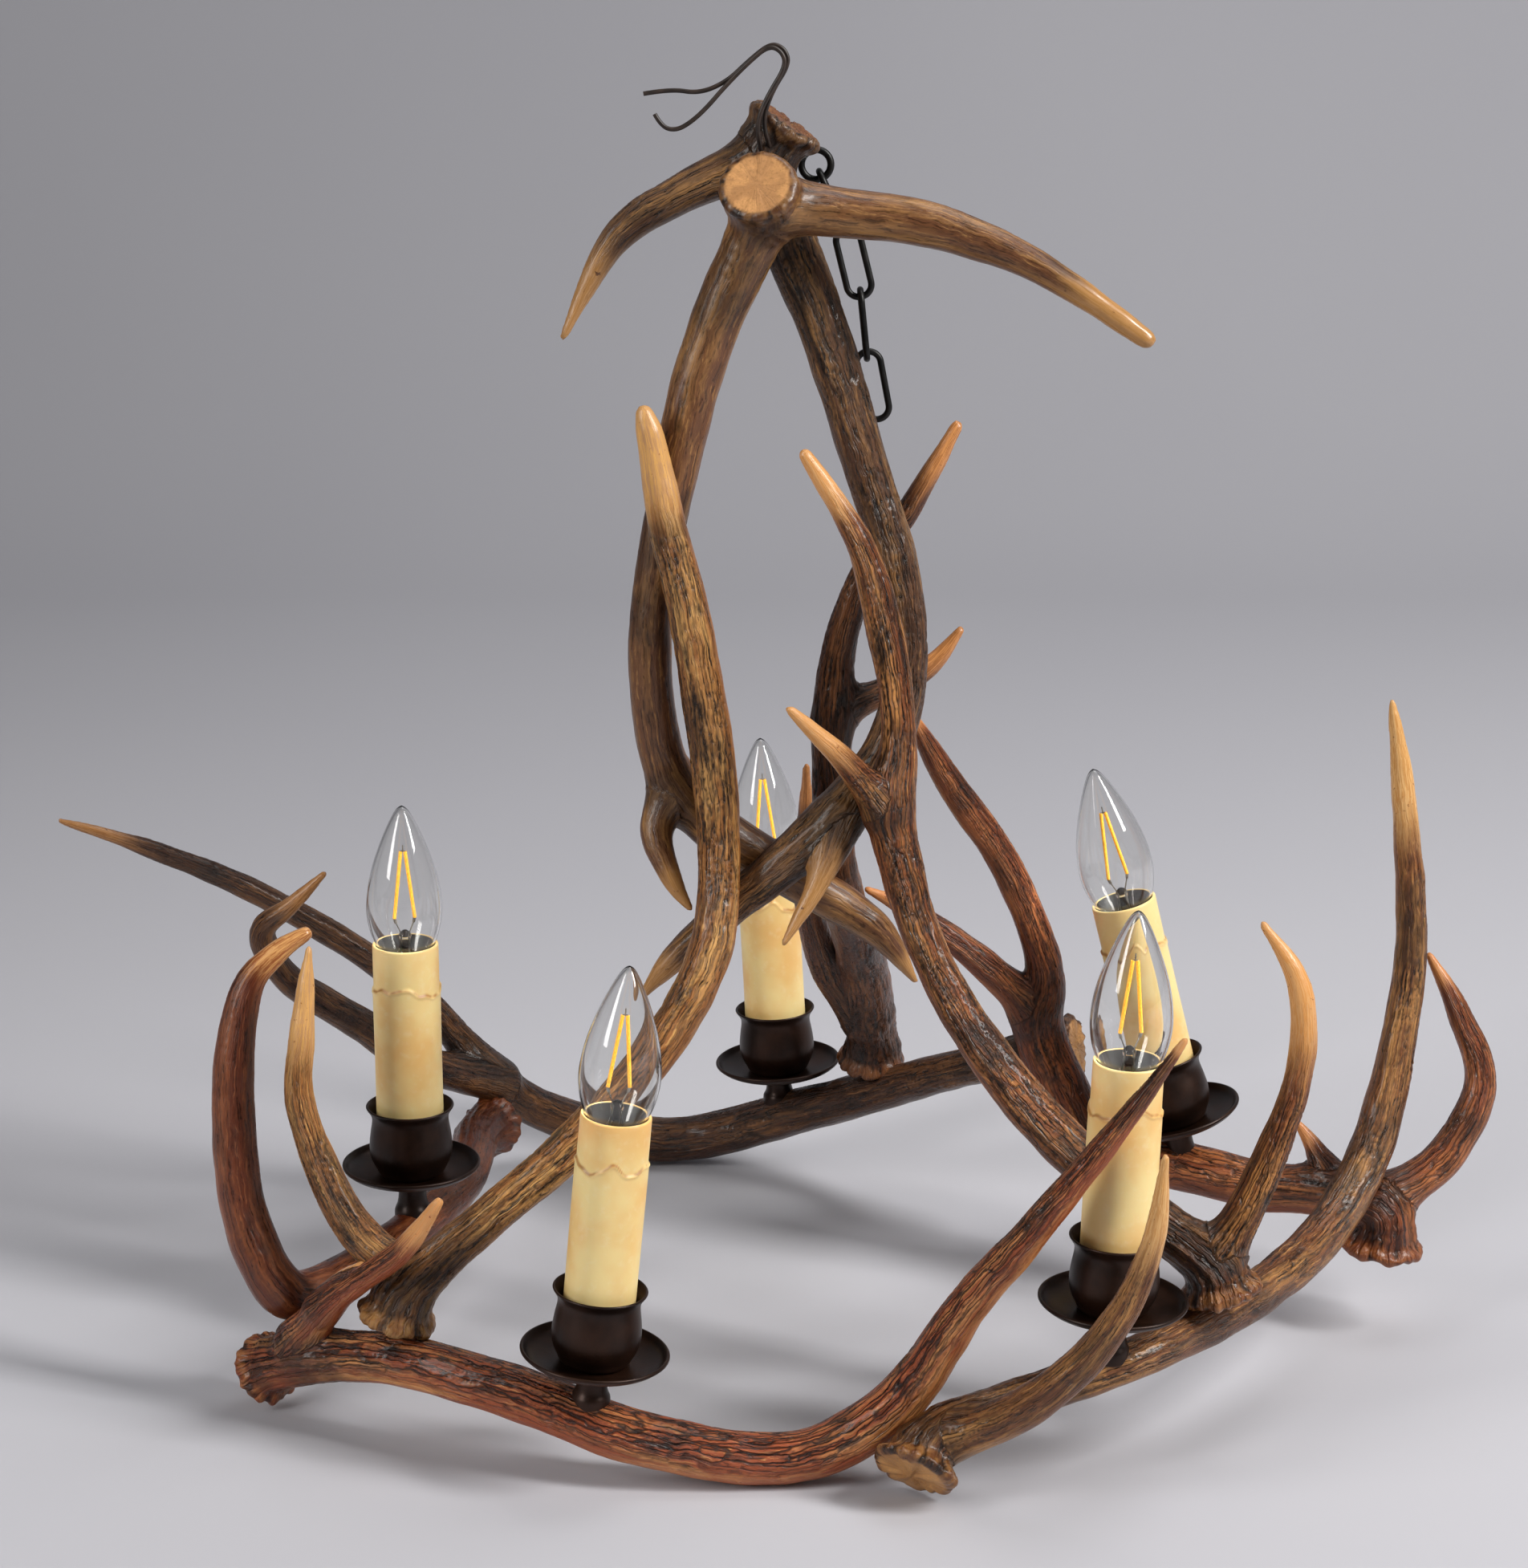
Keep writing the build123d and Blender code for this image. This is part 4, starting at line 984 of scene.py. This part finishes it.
def lamp(index, spec, materials):
    """One lamp: stem, dish, cup, sleeve, holder and bulb, seated on each other."""
    name, carrier, spot, lean, height = spec
    matrix = lamp_matrix(carrier, spot, lean)
    seat = height + FIT_GAP / 3
    cup_base = seat + DISH_WALL + FIT_GAP / 3
    foot = height + DISH_WALL + CUP_WALL + 2 * FIT_GAP + SLEEVE_SEAT
    glass_base = foot + SLEEVE_LENGTH - HOLDER_BELOW + FIT_GAP
    for turned, node in (
        (lamp_stem(name, height, matrix), "_lamp_stem"),
        (drip_dish(name, seat, matrix), "_drip_dish"),
        (candle_cup(name, cup_base, matrix), "_candle_cup"),
    ):
        place(turned, "frame", materials["bronze"], [name + node])
    sleeve = candle_sleeve(name, foot, matrix, SLEEVE_SEED * index)
    place(sleeve, "frame", materials["candle"], [name + "_candle_sleeve"])
    glass = bulb_glass(name, glass_base, matrix)
    place(glass, name + "_bulb", materials["glass"], [name + "_bulb_glass"])
    bulb_inside(name, glass_base, matrix, name + "_bulb", materials)
    paint(name + "_lampholder", materials["holder"])
    paint(name + "_bulb_cap", materials["nickel"])


# ------------ flex
FLEX_DIAMETER = 0.002           # m
# Each wire's route in mm above the floor, from its hole in the crown to its bare end.
FLEX_ROUTES = {
    "flex_core_left": [
        (-23, 28, 545), (-26, 12, 557), (-27, 10, 569), (-22, 10, 580), (-14.5, 10, 592),
        (-16.3, 10, 598), (-22, 10, 600.5), (-31, 10, 593), (-41, 9.5, 583), (-49, 7, 574),
        (-56, 5, 568), (-62, 4, 565), (-68, 4, 566.5), (-71, 4, 572),
    ],
    "flex_core_right": [
        (-18.5, 28, 546), (-22, 13, 558), (-24.5, 12.5, 569), (-20.5, 12.5, 581),
        (-13, 12.5, 592.5), (-15, 12.5, 599), (-21, 12.5, 601.5), (-30.5, 12.5, 594),
        (-40, 12.5, 585), (-52, 12, 580), (-64, 12, 582), (-76, 11, 580),
    ],
}


def flex(name, material):
    """One wire of the flex, as a cord that stands up by itself."""
    curve = bpy.data.curves.new(name + "_wire", "CURVE")
    curve.dimensions = "3D"
    curve.bevel_depth = FLEX_DIAMETER / 2
    curve.bevel_resolution = 6
    curve.resolution_u = 12
    curve.use_fill_caps = True
    spline = curve.splines.new("NURBS")
    route = FLEX_ROUTES[name]
    spline.points.add(len(route) - 1)
    for point, spot in zip(spline.points, route):
        point.co = (*local(spot), 1)
    spline.order_u = 3
    spline.use_endpoint_u = True
    obj = add_object(name + "_wire", curve)
    place(obj, "frame", material, [name])


# ------------ stage, m
SWEEP_FRONT, SWEEP_BACK, SWEEP_TOP, SWEEP_HALF = -6.0, 1.6, 3.0, 4.5
SWEEP_BEND, SWEEP_STEPS = 0.9, 16       # radius where the floor turns up, and faces round it

# Each light: name, spot, width and height, watts, colour, and spread in degrees.
LIGHTS = [
    ("key", (2.0, -0.95, 1.35), (0.5, 1.5), 90, (1.0, 0.98, 0.95), 180),
    ("left", (-1.55, -1.15, 0.7), (0.5, 1.5), 4.5, (1.0, 0.98, 0.96), 70),
    ("top", (0.7, 0.5, 2.1), (1.2, 1.2), 17, (1.0, 1.0, 1.0), 180),
]
LIT_SPOT = Vector((0, 0, -0.3))         # what the lights face
WORLD_COLOUR, WORLD_STRENGTH = (0.84, 0.83, 0.83, 1), 0.12


def stage():
    """A pale floor that bends up into a backdrop."""
    n = Nodes("sweep_paper")
    colour = n.mix(n.noise(n.spot(), 1.2, 2.0), "#b6b6bd", "#bdbdc3")
    n.finish(Base_Color=colour, Roughness=0.8)
    profile = [(SWEEP_FRONT, FLOOR_Z)]
    for step in range(SWEEP_STEPS + 1):
        angle = math.pi / 2 * step / SWEEP_STEPS
        profile.append((
            SWEEP_BACK + SWEEP_BEND * math.sin(angle),
            FLOOR_Z + SWEEP_BEND * (1 - math.cos(angle)),
        ))
    profile.append((SWEEP_BACK + SWEEP_BEND, SWEEP_TOP))
    verts = [(x, y, z) for y, z in profile for x in (-SWEEP_HALF, SWEEP_HALF)]
    faces = [(2 * i, 2 * i + 1, 2 * i + 3, 2 * i + 2) for i in range(len(profile) - 1)]
    sweep = mesh_object("sweep", verts, faces)
    sweep.data.materials.append(n.material)


def light():
    for name, spot, size, power, colour, spread in LIGHTS:
        data = bpy.data.lights.new(name, "AREA")
        data.shape = "RECTANGLE"
        data.size, data.size_y = size
        data.energy = power
        data.color = colour
        data.spread = math.radians(spread)
        obj = add_object(name, data)
        obj.location = spot
        obj.rotation_euler = (LIT_SPOT - Vector(spot)).to_track_quat("-Z", "Y").to_euler()
    world = bpy.data.worlds.new("studio")
    world.use_nodes = True
    background = world.node_tree.nodes["Background"]
    background.inputs["Color"].default_value = WORLD_COLOUR
    background.inputs["Strength"].default_value = WORLD_STRENGTH
    bpy.context.scene.world = world
    bpy.context.scene.view_settings.view_transform = "Standard"


def camera():
    data = bpy.data.cameras.new("camera")
    data.lens = CAMERA_LENS
    data.sensor_width = SENSOR_WIDTH
    obj = add_object("camera", data)
    obj.location = local(CAMERA_SPOT)
    obj.rotation_euler = (math.radians(90 - CAMERA_PITCH), 0, 0)
    bpy.context.scene.camera = obj


# ------------ making
camera()
light()
stage()

MATERIALS = {
    "bronze": bronze_material(),
    "candle": candle_material(),
    "glass": glass_material(),
    "filament": filament_material(),
    "holder": simple_material("lampholder_black", "#141312", "#22201e", 200.0, 0.5),
    # Nickel, with painted shade, near black, on what faces up.
    "nickel": simple_material("bulb_cap_nickel", "#8f8a82", "#b5b0a6", 300.0, 0.3, 1.0, "#0e0c0b"),
    "iron": simple_material("black_iron", "#0b0b0b", "#1c1a19", 240.0, 0.4, 0.4),
    "screw": simple_material("screw_steel", "#3a322b", "#6a5f54", 400.0, 0.45, 0.8),
    "flex": simple_material("flex_brown", "#1f1611", "#33251d", 200.0, 0.45),
}

for core in FLEX_ROUTES:
    flex(core, MATERIALS["flex"])
for antler_name in ANTLERS:
    antler(antler_name)
for number, lamp_spec in enumerate(LAMPS):
    lamp(number, lamp_spec, MATERIALS)
paint("joint_screws", MATERIALS["screw"])
paint("hanging_eye", MATERIALS["iron"])
for link in range(1, 5):
    paint(f"chain_link_{link}", MATERIALS["iron"])
